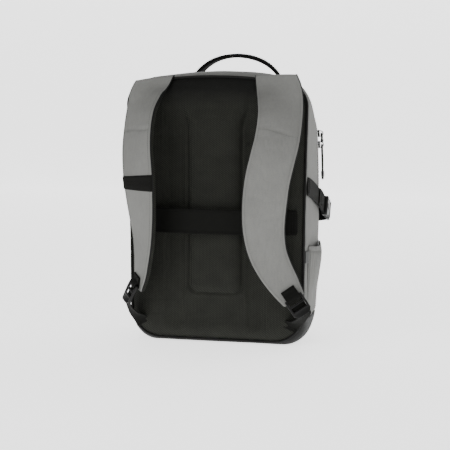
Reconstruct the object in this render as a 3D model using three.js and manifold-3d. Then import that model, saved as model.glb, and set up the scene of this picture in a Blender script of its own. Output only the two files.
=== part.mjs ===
// Laptop backpack that stands on its base. Millimetres, Z up.
// X runs across the wearer's back and Y from the wearer's side to the front of the bag.
// The origin is on the floor at the middle of the flat underside. The pieces are worked out with
// their depth counted from the back panel's seam, and the group then moves back by standDepth.

import * as THREE from 'three';
import { mergeVertices } from 'three/addons/utils/BufferGeometryUtils.js';
import Module from 'manifold-3d';

const wasm = await Module();
wasm.setup();

// Bag body
const bagHalfWidth = 154;
const bagHeight = 463;
const gussetDepth = 104;
const zipTapeWidth = 14;
const frontDepth = 57;
const clothWall = 2.4;
const baseHeight = 46;
const zipEndHeight = 240;
const topArch = 9;
const lowTaper = 5;
const bowHeight = 190;
const seamGap = 0.3;
const standDepth = 80;

// Back panel
const pipingRadius = 2.2;
const pipingInset = 1;
const panelThickness = 13;
const panelRim = 3;
const columnHalfWidth = 46.5;
const columnBottom = 88;
const columnTop = 404;
const columnCorner = 17;
const columnFlare = 13;
const columnRise = 3.5;

// Shoulder straps
const strapTop = 455;
const strapTip = 90;
const strapWidth = 72;
const strapStandoff = 70;
const strapFaceWall = 2.4;
const strapPadThickness = 8.5;
const strapCrown = 1.6;
const loopCentreHeight = 273;
const loopHeight = 25;
const loopWall = 1.4;

// Webbing and hardware
const webWidth = 25;
const webWall = 1.6;
const patchLength = 30;
const lockWidth = 33;
const lockLength = 27;
const lockWall = 4.2;
const lockBar = 4;
const lockLip = 8;
const lockCorner = 3;
const anchorX = 131;
const anchorHeight = 27;
const landingOut = 6;
const landingOff = 1.2;
const landingRise = 8;
const sideWebWidth = 27;
const sideWebRearHeight = 273;
const sideWebDrop = 31;
const buckleLength = 27;
const buckleWidth = 35;
const buckleThickness = 10;
const tongueLength = 15;
const tongueBladeWidth = 25;
const tongueBladeWall = 5;
const bladeLength = 18;
const tailSewnDepth = 163;
const tailDrop = 6;

// Trolley band and haul handle
const bandBottom = 190;
const bandHeight = 42;
const bandWall = 2;
const bandStandoff = 20;
const bandEndInset = 9;
const handleHalfSpan = 88;
const handleRise = 36;
const handleWidth = 24;
const handleWall = 5;
const handleEndWall = 2.2;
const handleSetback = 13;

// Pockets
const pocketRear = 20;
const pocketFront = 108;
const pocketBottom = 50;
const pocketMouth = 169;
const pocketBulge = 12;
const pocketWall = 1.8;
const mouthDip = 5;
const frontPocketHalfWidth = 88;
const frontPocketBottom = 56;
const frontPocketHeight = 206;
const frontPocketCorner = 34;
const frontPocketLeastCorner = 6;
const frontPocketBulge = 15;
const frontPocketSlope = 28;
const frontZipHeight = 232;
const frontZipTape = 11;
const frontZipHalfLength = 76;

// Small trim
const tagLength = 15;
const tagHeight = 20;
const tagWall = 1.2;
const tagCentreHeight = 152;
const upperSliderHeight = 361;
const lowerSliderHeight = 341;
const sliderLength = 13;
const sliderWidth = 8.5;
const sliderWall = 2.6;
const eyeRise = 7;
const eyeHole = 4;
const eyeHalfLength = 5;
const cordRadius = 1.2;
const upperPullLength = 16;
const lowerPullLength = 48;
const frontPullLength = 30;
const shortGrip = 6;
const longGrip = 15;
const gripWidth = 6;
const gripWall = 4;

const bagDepth = gussetDepth + zipTapeWidth + frontDepth;
const zipRear = gussetDepth;
const zipFront = gussetDepth + zipTapeWidth;
const zipMiddle = gussetDepth + zipTapeWidth / 2;
const rearEdge = pipingRadius + seamGap;
const handleDepth = zipFront + handleSetback;
const farAway = 1000;

// Body sections from the back panel to the front face. Depth is a share of bagDepth, half and
// the corner radii are shares of bagHalfWidth, top and lift are shares of bagHeight, and bow is
// how far the sides draw in, as a share of the half width, half the bag's height from bowHeight.
const bodySections = [
  { depth: 0, half: 1, top: 0.982, lift: 0.012, topCorner: 0.28, lowCorner: 0.33, bow: -0.022 },
  { depth: 0.1, half: 1.01, top: 0.994, lift: 0, topCorner: 0.33, lowCorner: 0.34, bow: -0.015 },
  { depth: 0.34, half: 1.015, top: 1, lift: 0, topCorner: 0.46, lowCorner: 0.42, bow: 0.01 },
  { depth: 0.634, half: 1.005, top: 0.985, lift: 0, topCorner: 0.66, lowCorner: 0.55, bow: 0.05 },
  { depth: 0.743, half: 0.965, top: 0.965, lift: 0, topCorner: 0.66, lowCorner: 0.55, bow: 0.055 },
  { depth: 0.874, half: 0.89, top: 0.94, lift: 0.003, topCorner: 0.62, lowCorner: 0.5, bow: 0.06 },
  { depth: 0.96, half: 0.8, top: 0.915, lift: 0.016, topCorner: 0.59, lowCorner: 0.42, bow: 0.06 },
  { depth: 1, half: 0.72, top: 0.885, lift: 0.04, topCorner: 0.52, lowCorner: 0.34, bow: 0.06 },
];

// The back panel's pad: how proud it stands at each scale of its outline, as a share of its
// full rise.
const padSections = [
  { scale: 0.4, rise: 1 },
  { scale: 0.75, rise: 0.93 },
  { scale: 0.94, rise: 0.62 },
  { scale: 1, rise: 0.22 },
];

// Shoulder straps from the top seam to the tip. Down is a share of the strap's drop, out a share
// of bagHalfWidth, off a share of strapStandoff, turn the face's turn away from the middle and
// tilt the slant of its cut end, both in degrees, width a share of strapWidth and thick a share
// of the pad's thickness.
const leftStrapRows = [
  { down: 0.017, out: 0.674, off: 0.166, turn: 2, tilt: 33, width: 0.885, thick: 0.2 },
  { down: 0.06, out: 0.715, off: 0.272, turn: 9, tilt: 26, width: 0.935, thick: 0.5 },
  { down: 0.107, out: 0.75, off: 0.45, turn: 22, tilt: 14, width: 0.96, thick: 0.9 },
  { down: 0.182, out: 0.785, off: 0.68, turn: 31, tilt: 0, width: 1, thick: 1 },
  { down: 0.315, out: 0.792, off: 0.91, turn: 33, tilt: 0, width: 1, thick: 1 },
  { down: 0.461, out: 0.766, off: 1, turn: 32, tilt: 0, width: 1, thick: 1 },
  { down: 0.56, out: 0.753, off: 0.98, turn: 35, tilt: 0, width: 0.99, thick: 1 },
  { down: 0.66, out: 0.747, off: 0.91, turn: 39, tilt: 0, width: 0.95, thick: 1 },
  { down: 0.76, out: 0.753, off: 0.8, turn: 44, tilt: 0, width: 0.86, thick: 1 },
  { down: 0.848, out: 0.779, off: 0.69, turn: 47, tilt: 0, width: 0.75, thick: 0.95 },
  { down: 0.923, out: 0.81, off: 0.58, turn: 49, tilt: 0, width: 0.67, thick: 0.85 },
  { down: 1, out: 0.835, off: 0.49, turn: 54, tilt: 0, width: 0.55, thick: 0.6 },
];
const rightStrapRows = [
  { down: 0, out: 0.69, off: 0.135, turn: 0, tilt: 19, width: 1.04, thick: 0.2 },
  { down: 0.05, out: 0.722, off: 0.255, turn: 5, tilt: 16, width: 1.05, thick: 0.5 },
  { down: 0.107, out: 0.76, off: 0.45, turn: 14, tilt: 8, width: 1.02, thick: 0.9 },
  { down: 0.182, out: 0.785, off: 0.68, turn: 19, tilt: 0, width: 1, thick: 1 },
  { down: 0.28, out: 0.773, off: 0.87, turn: 15, tilt: 0, width: 1, thick: 1 },
  { down: 0.363, out: 0.734, off: 0.97, turn: 13, tilt: 0, width: 1, thick: 1 },
  { down: 0.46, out: 0.682, off: 1, turn: 13, tilt: 0, width: 1, thick: 1 },
  { down: 0.56, out: 0.649, off: 0.97, turn: 14, tilt: 0, width: 0.99, thick: 1 },
  { down: 0.66, out: 0.63, off: 0.89, turn: 18, tilt: 0, width: 0.95, thick: 1 },
  { down: 0.74, out: 0.636, off: 0.8, turn: 18, tilt: 0, width: 0.9, thick: 1 },
  { down: 0.81, out: 0.66, off: 0.72, turn: 16, tilt: 0, width: 0.83, thick: 1 },
  { down: 0.875, out: 0.708, off: 0.64, turn: 17, tilt: 0, width: 0.76, thick: 0.95 },
  { down: 0.94, out: 0.78, off: 0.57, turn: 20, tilt: 0, width: 0.68, thick: 0.85 },
  { down: 1, out: 0.86, off: 0.51, turn: 24, tilt: 0, width: 0.55, thick: 0.6 },
];

// The haul handle: along is a share of its half span, rise a share of its full rise.
const handleRows = [
  { along: 0, rise: 1, wall: 1 },
  { along: 0.25, rise: 0.96, wall: 1 },
  { along: 0.5, rise: 0.83, wall: 1 },
  { along: 0.7, rise: 0.58, wall: 0.9 },
  { along: 0.84, rise: 0.26, wall: 0.4 },
  { along: 0.92, rise: 0.06, wall: 0.1 },
  { along: 1.08, rise: 0, wall: 0 },
];

// The trolley band: along is a share of its half length, off a share of bandStandoff.
const bandRows = [
  { along: 0, off: 1 },
  { along: 0.35, off: 0.97 },
  { along: 0.6, off: 0.78 },
  { along: 0.78, off: 0.4 },
  { along: 0.9, off: 0.06 },
  { along: 1, off: 0 },
];

// The front pocket's dome: inset from its outline is a share of frontPocketSlope and rise a share
// of frontPocketBulge.
const domeSections = [
  { inset: 0, rise: 0 },
  { inset: 0.07, rise: 0.5 },
  { inset: 0.32, rise: 0.82 },
  { inset: 1, rise: 1 },
];

// Cubic curve through one column of a table, keyed on another column.
function tableValue(rows, key, column, at) {
  const last = rows.length - 1;
  let index = 0;
  while (index < last - 1 && at > rows[index + 1][key]) index += 1;
  const slopeAt = (k) => {
    const before = rows[Math.max(k - 1, 0)];
    const after = rows[Math.min(k + 1, last)];
    return (after[column] - before[column]) / (after[key] - before[key]);
  };
  const start = rows[index];
  const end = rows[index + 1];
  const span = end[key] - start[key];
  const t = THREE.MathUtils.clamp((at - start[key]) / span, 0, 1);
  const rise = 3 * t * t - 2 * t * t * t;
  const startSlope = slopeAt(index) * span * t * (1 - t) * (1 - t);
  const endSlope = slopeAt(index + 1) * span * t * t * (1 - t);
  return start[column] + (end[column] - start[column]) * rise + startSlope - endSlope;
}

// Closed geometry from loose triangles, with equal corners merged and faces pointing out.
function closedGeometry(triangles) {
  const loose = new THREE.BufferGeometry();
  const flat = triangles.flatMap((point) => [point.x, point.y, point.z]);
  loose.setAttribute('position', new THREE.Float32BufferAttribute(flat, 3));
  const merged = mergeVertices(loose, 1e-3);
  const corner = (index) => new THREE.Vector3().fromBufferAttribute(merged.attributes.position, index);
  const kept = [];
  let volume = 0;
  for (let i = 0; i < merged.index.count; i += 3) {
    const [a, b, c] = [0, 1, 2].map((k) => merged.index.getX(i + k));
    if (a === b || b === c || c === a) continue;
    kept.push([a, b, c]);
    volume += corner(a).dot(corner(b).cross(corner(c)));
  }
  const ordered = volume < 0 ? kept.map(([a, b, c]) => [a, c, b]) : kept;
  merged.setIndex(ordered.flat());
  return merged;
}

// The same for a geometry made by extruding, whose outline may repeat a corner.
function cleaned(geometry) {
  const loose = geometry.index ? geometry.toNonIndexed() : geometry;
  const place = loose.attributes.position;
  const corners = Array.from({ length: place.count }, (_, index) => {
    return new THREE.Vector3().fromBufferAttribute(place, index);
  });
  return closedGeometry(corners);
}

function quad(triangles, a, b, c, d) {
  triangles.push(a, b, c, a, c, d);
}

// Loft through closed rings of equal count, closed by a fan to a point at each end.
function loft(rings, startPoint = middleOf(rings[0]), endPoint = middleOf(rings.at(-1))) {
  const triangles = [];
  const count = rings[0].length;
  for (let i = 0; i < count; i += 1) {
    const next = (i + 1) % count;
    for (let r = 0; r < rings.length - 1; r += 1) {
      quad(triangles, rings[r][i], rings[r][next], rings[r + 1][next], rings[r + 1][i]);
    }
    triangles.push(startPoint, rings[0][next], rings[0][i]);
    triangles.push(endPoint, rings.at(-1)[i], rings.at(-1)[next]);
  }
  return closedGeometry(triangles);
}

// Tube whose rings run right round and meet the first ring again.
function roundLoft(rings) {
  const triangles = [];
  const count = rings[0].length;
  rings.forEach((ring, r) => {
    const after = rings[(r + 1) % rings.length];
    for (let i = 0; i < count; i += 1) {
      const next = (i + 1) % count;
      quad(triangles, ring[i], ring[next], after[next], after[i]);
    }
  });
  return closedGeometry(triangles);
}

// Wall between an outer and an inner grid of points with the same rows and columns.
function wall(outer, inner) {
  const triangles = [];
  const rows = outer.length;
  const columns = outer[0].length;
  for (let r = 0; r < rows - 1; r += 1) {
    for (let c = 0; c < columns - 1; c += 1) {
      quad(triangles, outer[r][c], outer[r][c + 1], outer[r + 1][c + 1], outer[r + 1][c]);
      quad(triangles, inner[r][c], inner[r + 1][c], inner[r + 1][c + 1], inner[r][c + 1]);
    }
    quad(triangles, outer[r][0], outer[r + 1][0], inner[r + 1][0], inner[r][0]);
    quad(triangles, outer[r][columns - 1], inner[r][columns - 1],
      inner[r + 1][columns - 1], outer[r + 1][columns - 1]);
  }
  for (let c = 0; c < columns - 1; c += 1) {
    quad(triangles, outer[0][c], inner[0][c], inner[0][c + 1], outer[0][c + 1]);
    quad(triangles, outer[rows - 1][c], outer[rows - 1][c + 1],
      inner[rows - 1][c + 1], inner[rows - 1][c]);
  }
  return closedGeometry(triangles);
}

function middleOf(ring) {
  const sum = ring.reduce((total, point) => total.add(point), new THREE.Vector3());
  return sum.divideScalar(ring.length);
}

function vec(x, y, z) {
  return new THREE.Vector3(x, y, z);
}

function steps(count) {
  return Array.from({ length: count + 1 }, (_, index) => index / count);
}

function toSolid(geometry) {
  const merged = cleaned(geometry);
  return new wasm.Manifold(new wasm.Mesh({
    numProp: 3,
    vertProperties: new Float32Array(merged.attributes.position.array),
    triVerts: new Uint32Array(merged.index.array),
  }));
}

function toGeometry(solid) {
  const mesh = solid.getMesh();
  const geometry = new THREE.BufferGeometry();
  geometry.setAttribute('position', new THREE.Float32BufferAttribute(mesh.vertProperties, 3));
  geometry.setIndex(Array.from(mesh.triVerts));
  return geometry;
}

// Box between two corners, as a solid to join or cut with.
function boxSolid(low, high) {
  const size = high.clone().sub(low);
  const geometry = new THREE.BoxGeometry(size.x, size.y, size.z);
  const middle = low.clone().add(high).multiplyScalar(0.5);
  return toSolid(geometry.translate(middle.x, middle.y, middle.z));
}

// Share of its width that a section keeps at one height: its sides bow, and lean in at the floor.
function widthShare(section, z) {
  const below = Math.max(1 - z / bagHeight, 0);
  const away = 2 * (z - bowHeight) / bagHeight;
  return 1 - (lowTaper / bagHalfWidth) * below ** 2 - section.bow * away ** 2;
}

// Sizes of the body's outline at one depth, drawn in by an inset.
function bodySection(depth, inset = 0) {
  const read = (column) => tableValue(bodySections, 'depth', column, depth / bagDepth);
  const half = bagHalfWidth * read('half') - inset;
  const top = bagHeight * read('top') - inset;
  const low = bagHeight * read('lift') + inset;
  const topRadius = bagHalfWidth * read('topCorner') - inset;
  const lowRadius = bagHalfWidth * read('lowCorner') - inset;
  let archEnd = half - topRadius / 2;
  let angle = 0;
  for (let pass = 0; pass < 4; pass += 1) {
    angle = Math.atan(archEnd / (2 * topArch));
    archEnd = half - topRadius + topRadius * Math.cos(angle);
  }
  const cornerHeight = top - topArch - topRadius * Math.sin(angle);
  return { half, top, low, topRadius, lowRadius, archEnd, angle, cornerHeight, bow: read('bow') };
}

// Right half of the outline from the bottom centre to the top centre, as [x, z] pairs.
function halfOutline(section) {
  const { half, top, low, topRadius, lowRadius, archEnd, angle, cornerHeight } = section;
  const points = [];
  steps(2).slice(0, -1).forEach((t) => points.push([(half - lowRadius) * t, low]));
  steps(4).slice(0, -1).forEach((t) => {
    const turn = (t - 1) * Math.PI / 2;
    points.push([half - lowRadius + lowRadius * Math.cos(turn),
      low + lowRadius + lowRadius * Math.sin(turn)]);
  });
  steps(5).slice(0, -1).forEach((t) => {
    points.push([half, THREE.MathUtils.lerp(low + lowRadius, cornerHeight, t)]);
  });
  steps(6).slice(0, -1).forEach((t) => {
    points.push([half - topRadius + topRadius * Math.cos(angle * t),
      cornerHeight + topRadius * Math.sin(angle * t)]);
  });
  steps(4).forEach((t) => {
    const x = archEnd * (1 - t);
    points.push([x, top - topArch * (x / archEnd) ** 2]);
  });
  return points;
}

function mirroredLoop(half) {
  return [...half, ...half.slice(1, -1).reverse().map(([x, z]) => [-x, z])];
}

function bodyRing(depth, inset = 0, y = depth) {
  const section = bodySection(depth, inset);
  const loop = mirroredLoop(halfOutline(section));
  return loop.map(([x, z]) => vec(x * widthShare(section, z), y, z));
}

// Ring drawn in towards a middle point of its own plane, then set at another depth.
function scaledRing(ring, middle, scale, y) {
  return ring.map((point) => vec(middle.x + (point.x - middle.x) * scale, y,
    middle.z + (point.z - middle.z) * scale));
}

// Outer surface of the body's right side, and of its top, at one depth.
function sideAt(depth, z) {
  const section = bodySection(depth);
  const fromLow = Math.max(section.low + section.lowRadius - z, 0);
  const fromTop = Math.max(z - section.cornerHeight, 0);
  const radius = fromTop > 0 ? section.topRadius : section.lowRadius;
  const reach = Math.sqrt(Math.max(radius ** 2 - Math.max(fromLow, fromTop) ** 2, 0));
  return (section.half - radius + reach) * widthShare(section, z);
}

function topAt(depth, x) {
  const section = bodySection(depth);
  const own = Math.abs(x) / widthShare(section, section.top);
  if (own < section.archEnd) return section.top - topArch * (own / section.archEnd) ** 2;
  const out = own - section.half + section.topRadius;
  return section.cornerHeight + Math.sqrt(Math.max(section.topRadius ** 2 - out ** 2, 0));
}

// The whole cloth shell is one cup, open towards the wearer, before it is cut into panels.
function makeShell() {
  const faceScales = [0.4, 0.75];
  const depths = bodySections.map((row) => Math.max(row.depth * bagDepth, rearEdge));
  const outer = depths.map((depth) => bodyRing(depth));
  const inner = depths.map((depth) => {
    return bodyRing(depth, clothWall, Math.min(depth, bagDepth - clothWall));
  });
  const middle = vec(0, bagDepth, bagHeight / 2);
  const innerMiddle = vec(0, bagDepth - clothWall, bagHeight / 2);
  const outerFace = faceScales.map((scale) => scaledRing(outer.at(-1), middle, scale, bagDepth));
  const innerFace = faceScales.map((scale) => {
    return scaledRing(inner.at(-1), middle, scale, bagDepth - clothWall);
  });
  const rings = [...outerFace, ...outer.reverse(), ...inner, ...innerFace.reverse()];
  return toSolid(loft(rings, middle, innerMiddle));
}

const shell = makeShell();
const halfGap = seamGap / 2;

function makeGusset() {
  const kept = boxSolid(vec(-farAway, -farAway, baseHeight + halfGap),
    vec(farAway, zipFront - halfGap, farAway));
  const zipSpace = boxSolid(vec(-farAway, zipRear - halfGap, zipEndHeight - halfGap),
    vec(farAway, farAway, farAway));
  return toGeometry(shell.intersect(kept).subtract(zipSpace));
}

function makeMainZip() {
  const kept = boxSolid(vec(-farAway, zipRear + halfGap, zipEndHeight + halfGap),
    vec(farAway, zipFront - halfGap, farAway));
  return toGeometry(shell.intersect(kept));
}

function makeFrontShell() {
  const kept = boxSolid(vec(-farAway, zipFront + halfGap, baseHeight + halfGap),
    vec(farAway, farAway, farAway));
  return toGeometry(shell.intersect(kept));
}

function makeBasePanel() {
  const kept = boxSolid(vec(-farAway, -farAway, -farAway),
    vec(farAway, farAway, baseHeight - halfGap));
  return toGeometry(shell.intersect(kept));
}

// The bound seam is a round cord that follows the outline of the back panel.
function makePiping() {
  const path = bodyRing(0, pipingInset, 0);
  const inward = bodyRing(0, pipingInset + pipingRadius, 0);
  const sides = 6;
  const rings = path.map((point, index) => {
    const across = inward[index].clone().sub(point).normalize();
    return steps(sides).slice(0, -1).map((t) => {
      const turn = t * 2 * Math.PI;
      return point.clone()
        .addScaledVector(across, pipingRadius * Math.cos(turn))
        .add(vec(0, pipingRadius * Math.sin(turn), 0));
    });
  });
  return roundLoft(rings);
}

const panelInset = pipingInset + pipingRadius + seamGap;
const panelFull = panelThickness - panelRim;

// How far the pad stands out towards the wearer at a point of the back panel.
function padRiseAt(x, z) {
  const section = bodySection(0, panelInset);
  const acrossShare = Math.abs(x) / section.half;
  const middle = (section.top + section.low) / 2;
  const upShare = Math.abs(z - middle) / (section.top - middle);
  const scale = Math.max(acrossShare, upShare, padSections[0].scale);
  return panelFull * tableValue(padSections, 'scale', 'rise', scale);
}

// Outline of the raised middle column: round lower corners, and sides that flare at the top.
function columnOutline(inset) {
  const half = columnHalfWidth - inset;
  const radius = columnCorner - inset;
  const points = [[0, columnBottom + inset]];
  steps(3).forEach((t) => {
    const turn = (t - 1) * Math.PI / 2;
    points.push([half - radius + radius * Math.cos(turn),
      columnBottom + columnCorner + radius * Math.sin(turn)]);
  });
  const flareStart = columnTop - 3.5 * columnFlare;
  steps(3).forEach((t) => {
    points.push([half + columnFlare * t * t,
      THREE.MathUtils.lerp(flareStart, columnTop - inset, t)]);
  });
  points.push([0, columnTop - inset]);
  return mirroredLoop(points);
}

function makeBackPanel() {
  const outline = bodyRing(0, panelInset, 0);
  const middle = vec(0, 0, bagHeight / 2);
  const rings = padSections.map((row) => {
    return scaledRing(outline, middle, row.scale, -panelFull * row.rise);
  });
  rings.push(scaledRing(outline, middle, 1, panelRim));
  const pad = loft(rings, vec(0, -panelFull, middle.z), vec(0, panelRim, middle.z));
  const columnRing = (inset, y) => columnOutline(inset).map(([x, z]) => vec(x, y, z));
  const column = loft([
    columnRing(0, -panelFull / 2),
    columnRing(0, -panelFull - columnRise / 2),
    columnRing(2, -panelFull - columnRise),
  ]);
  return toGeometry(toSolid(pad).add(toSolid(column)));
}

// One shoulder strap's centre line and the directions of its width and its face.
function strapFrames(rows, sign, count = 20) {
  const drop = strapTop - strapTip;
  const pointAt = (down) => vec(
    sign * bagHalfWidth * tableValue(rows, 'down', 'out', down),
    -strapStandoff * tableValue(rows, 'down', 'off', down),
    strapTop - drop * down,
  );
  const first = rows[0].down;
  return steps(count).map((share) => {
    const near = 0.01;
    const down = THREE.MathUtils.lerp(first, 1, share);
    const before = pointAt(Math.max(down - near, first));
    const after = pointAt(Math.min(down + near, 1));
    const along = after.sub(before).normalize();
    const turn = THREE.MathUtils.degToRad(tableValue(rows, 'down', 'turn', down));
    const face = vec(sign * Math.sin(turn), -Math.cos(turn), 0);
    face.addScaledVector(along, -face.dot(along)).normalize();
    const across = new THREE.Vector3().crossVectors(face, along).normalize();
    const tilt = THREE.MathUtils.degToRad(tableValue(rows, 'down', 'tilt', down));
    across.applyAxisAngle(face, -sign * tilt);
    return {
      down,
      point: pointAt(down),
      along,
      face,
      across,
      half: strapWidth / 2 * tableValue(rows, 'down', 'width', down),
      pad: strapPadThickness * tableValue(rows, 'down', 'thick', down),
    };
  });
}

function offsetPoint(frame, acrossBy, faceBy) {
  return frame.point.clone()
    .addScaledVector(frame.across, acrossBy)
    .addScaledVector(frame.face, faceBy);
}

const acrossShares = [-1, -0.6, 0, 0.6, 1];

function crownAt(share) {
  return strapCrown * (1 - share * share);
}

function makeStrapFace(frames) {
  const grid = (lift) => frames.map((frame) => {
    return acrossShares.map((share) => offsetPoint(frame, share * frame.half, crownAt(share) + lift));
  });
  return wall(grid(0), grid(-strapFaceWall));
}

// The pad fills the strap's thickness behind its face and has rounded edges.
function makeStrapPad(frames) {
  const rings = frames.map((frame) => {
    const lift = -strapFaceWall - seamGap;
    const round = frame.pad / 3;
    const front = acrossShares.map((share) => {
      return offsetPoint(frame, share * (frame.half - 0.5), crownAt(share) + lift);
    });
    const edge = frame.half + 0.6;
    return [
      ...front,
      offsetPoint(frame, edge, lift - frame.pad / 2),
      offsetPoint(frame, frame.half - round, lift - frame.pad),
      offsetPoint(frame, round - frame.half, lift - frame.pad),
      offsetPoint(frame, -edge, lift - frame.pad / 2),
    ];
  });
  return loft(rings);
}

const leftFrames = strapFrames(leftStrapRows, -1);
const rightFrames = strapFrames(rightStrapRows, 1);

// Webbing band stitched across a strap's face, following the face's own sections.
function makeStrapLoop(rows, sign) {
  const drop = strapTop - strapTip;
  const centre = (strapTop - loopCentreHeight) / drop;
  const reach = loopHeight / 2 / drop;
  const frames = strapFrames(rows, sign, 200)
    .filter((frame) => Math.abs(frame.down - centre) < reach);
  const picked = [0, 0.5, 1].map((t) => frames[Math.round(t * (frames.length - 1))]);
  const shares = [-1, -0.8, -0.6, -0.3, 0, 0.3, 0.6, 0.8, 1];
  const grid = (lift) => picked.map((frame) => {
    return shares.map((share) => {
      return offsetPoint(frame, share * frame.half, crownAt(share) + 2 * seamGap + lift);
    });
  });
  return wall(grid(loopWall), grid(0));
}

// Flat webbing carried along a line: each stop has a point, its width direction and its face.
function makeWeb(stops, width, thickness) {
  return loft(stops.map(({ point, across, face, wall: own = thickness }) => {
    const corner = (a, f) => point.clone()
      .addScaledVector(across, a * width / 2)
      .addScaledVector(face, f * own / 2);
    return [corner(-1, -1), corner(1, -1), corner(1, 1), corner(-1, 1)];
  }));
}

// Frame of a ladder lock: just past the tip of its strap, in the plane of the strap's face.
function lockFrame(frames) {
  const tip = frames.at(-1);
  return {
    tip,
    origin: tip.point.clone().addScaledVector(tip.along, 2),
    across: tip.across,
    along: tip.along,
    face: tip.face,
  };
}

function lockPoint(frame, along, face) {
  return frame.origin.clone()
    .addScaledVector(frame.along, along)
    .addScaledVector(frame.face, face);
}

// The lock lies on the webbing that is sewn to the strap's face.
const webLift = strapCrown + 2 * seamGap + webWall / 2;
const lockClear = lockWall / 2 + seamGap + webWall / 2;
const lockLift = webLift + lockClear;

// Webbing sewn on the strap's lower end: it lies on the face and runs on under the lock.
function makeEndWebbing(frames) {
  const lock = lockFrame(frames);
  const tip = frames.at(-1);
  const length = strapLength(frames);
  const stops = frames
    .filter((frame, index) => length[index] > length.at(-1) - patchLength)
    .map((frame) => ({
      point: offsetPoint(frame, 0, webLift),
      across: frame.across,
      face: frame.face,
    }));
  stops.push({
    point: lockPoint(lock, 2 * lockBar, webLift),
    across: tip.across,
    face: tip.face,
  });
  return makeWeb(stops, webWidth, webWall);
}

// Distance along the strap at each of its frames.
function strapLength(frames) {
  let total = 0;
  return frames.map((frame, index) => {
    if (index > 0) total += frame.point.distanceTo(frames[index - 1].point);
    return total;
  });
}

// Ladder lock in its own plane: X across, Y along the strap, Z out of its face.
function makeLadderLock() {
  const half = lockWidth / 2;
  const outline = new THREE.Shape();
  outline.moveTo(-half + lockCorner, 0);
  outline.lineTo(half - lockCorner, 0);
  outline.quadraticCurveTo(half, 0, half, lockCorner);
  outline.lineTo(half, lockLength);
  outline.quadraticCurveTo(half - 2, lockLength + lockLip, 0, lockLength + lockLip);
  outline.quadraticCurveTo(-half + 2, lockLength + lockLip, -half, lockLength);
  outline.lineTo(-half, lockCorner);
  outline.quadraticCurveTo(-half, 0, lockCorner - half, 0);
  const slotHalf = webWidth / 2 + 0.5;
  const slotLength = (lockLength - 3 * lockBar) / 2;
  [lockBar, 2 * lockBar + slotLength].forEach((start) => {
    const slot = new THREE.Path();
    slot.moveTo(-slotHalf, start);
    slot.lineTo(-slotHalf, start + slotLength);
    slot.lineTo(slotHalf, start + slotLength);
    slot.lineTo(slotHalf, start);
    slot.closePath();
    outline.holes.push(slot);
  });
  const plate = new THREE.ExtrudeGeometry(outline, {
    depth: lockWall,
    bevelEnabled: false,
    curveSegments: 3,
  });
  plate.translate(0, 0, -lockWall / 2);
  return cleaned(plate);
}

// Webbing from behind the lock's last bar back to the lower corner of the bag.
function makeLowerWebbing(frames, sign) {
  const lock = lockFrame(frames);
  const anchorFace = vec(0, -1, 0);
  const anchorAcross = vec(0.75, 0, -sign * 0.66).normalize();
  const panelHere = padRiseAt(anchorX, anchorHeight);
  const anchor = vec(sign * anchorX, -panelHere - seamGap - webWall / 2, anchorHeight);
  const landing = anchor.clone().add(vec(sign * landingOut, -landingOff, landingRise));
  const start = lockPoint(lock, lockLength - lockBar, webLift - 0.2);
  const leave = lockPoint(lock, lockLength + lockLip, webLift - 1.5);
  const curve = new THREE.CatmullRomCurve3([
    start,
    leave,
    leave.clone().lerp(landing, 0.5).add(vec(sign * 2, -1, -2)),
    landing,
    anchor,
  ]);
  const stops = steps(9).map((t) => {
    const across = lock.across.clone().lerp(anchorAcross, t * t).normalize();
    const along = curve.getTangent(t);
    across.addScaledVector(along, -across.dot(along)).normalize();
    const face = new THREE.Vector3().crossVectors(along, across).normalize();
    if (face.dot(anchorFace) < 0) face.negate();
    return { point: curve.getPoint(t), across, face };
  });
  return makeWeb(stops, webWidth, webWall);
}

// The band is sewn to the panel's edges and stands off it in the middle.
function makeTrolleyBand() {
  const halfLength = bodySection(0, panelInset).half - bandEndInset;
  const middle = bandBottom + bandHeight / 2;
  const side = bandRows.map((row) => {
    const x = halfLength * row.along;
    const rest = padRiseAt(x, middle) + columnRise + seamGap + bandWall;
    const lowEnd = padRiseAt(x, middle) + 2 * seamGap + bandWall / 2;
    const y = row.off > 0.5 ? panelFull + bandStandoff * row.off : lowEnd + bandStandoff * row.off;
    return vec(x, -Math.max(y, row.along < 0.5 ? rest : lowEnd), middle);
  });
  const half = side.slice(1).reverse().map((point) => vec(-point.x, point.y, point.z));
  const curve = new THREE.CatmullRomCurve3([...half, ...side]);
  const stops = steps(18).map((t) => {
    const along = curve.getTangent(t);
    const across = vec(0, 0, 1);
    const face = new THREE.Vector3().crossVectors(along, across).normalize();
    return { point: curve.getPoint(t), across, face };
  });
  return makeWeb(stops, bandHeight, bandWall);
}

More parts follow.
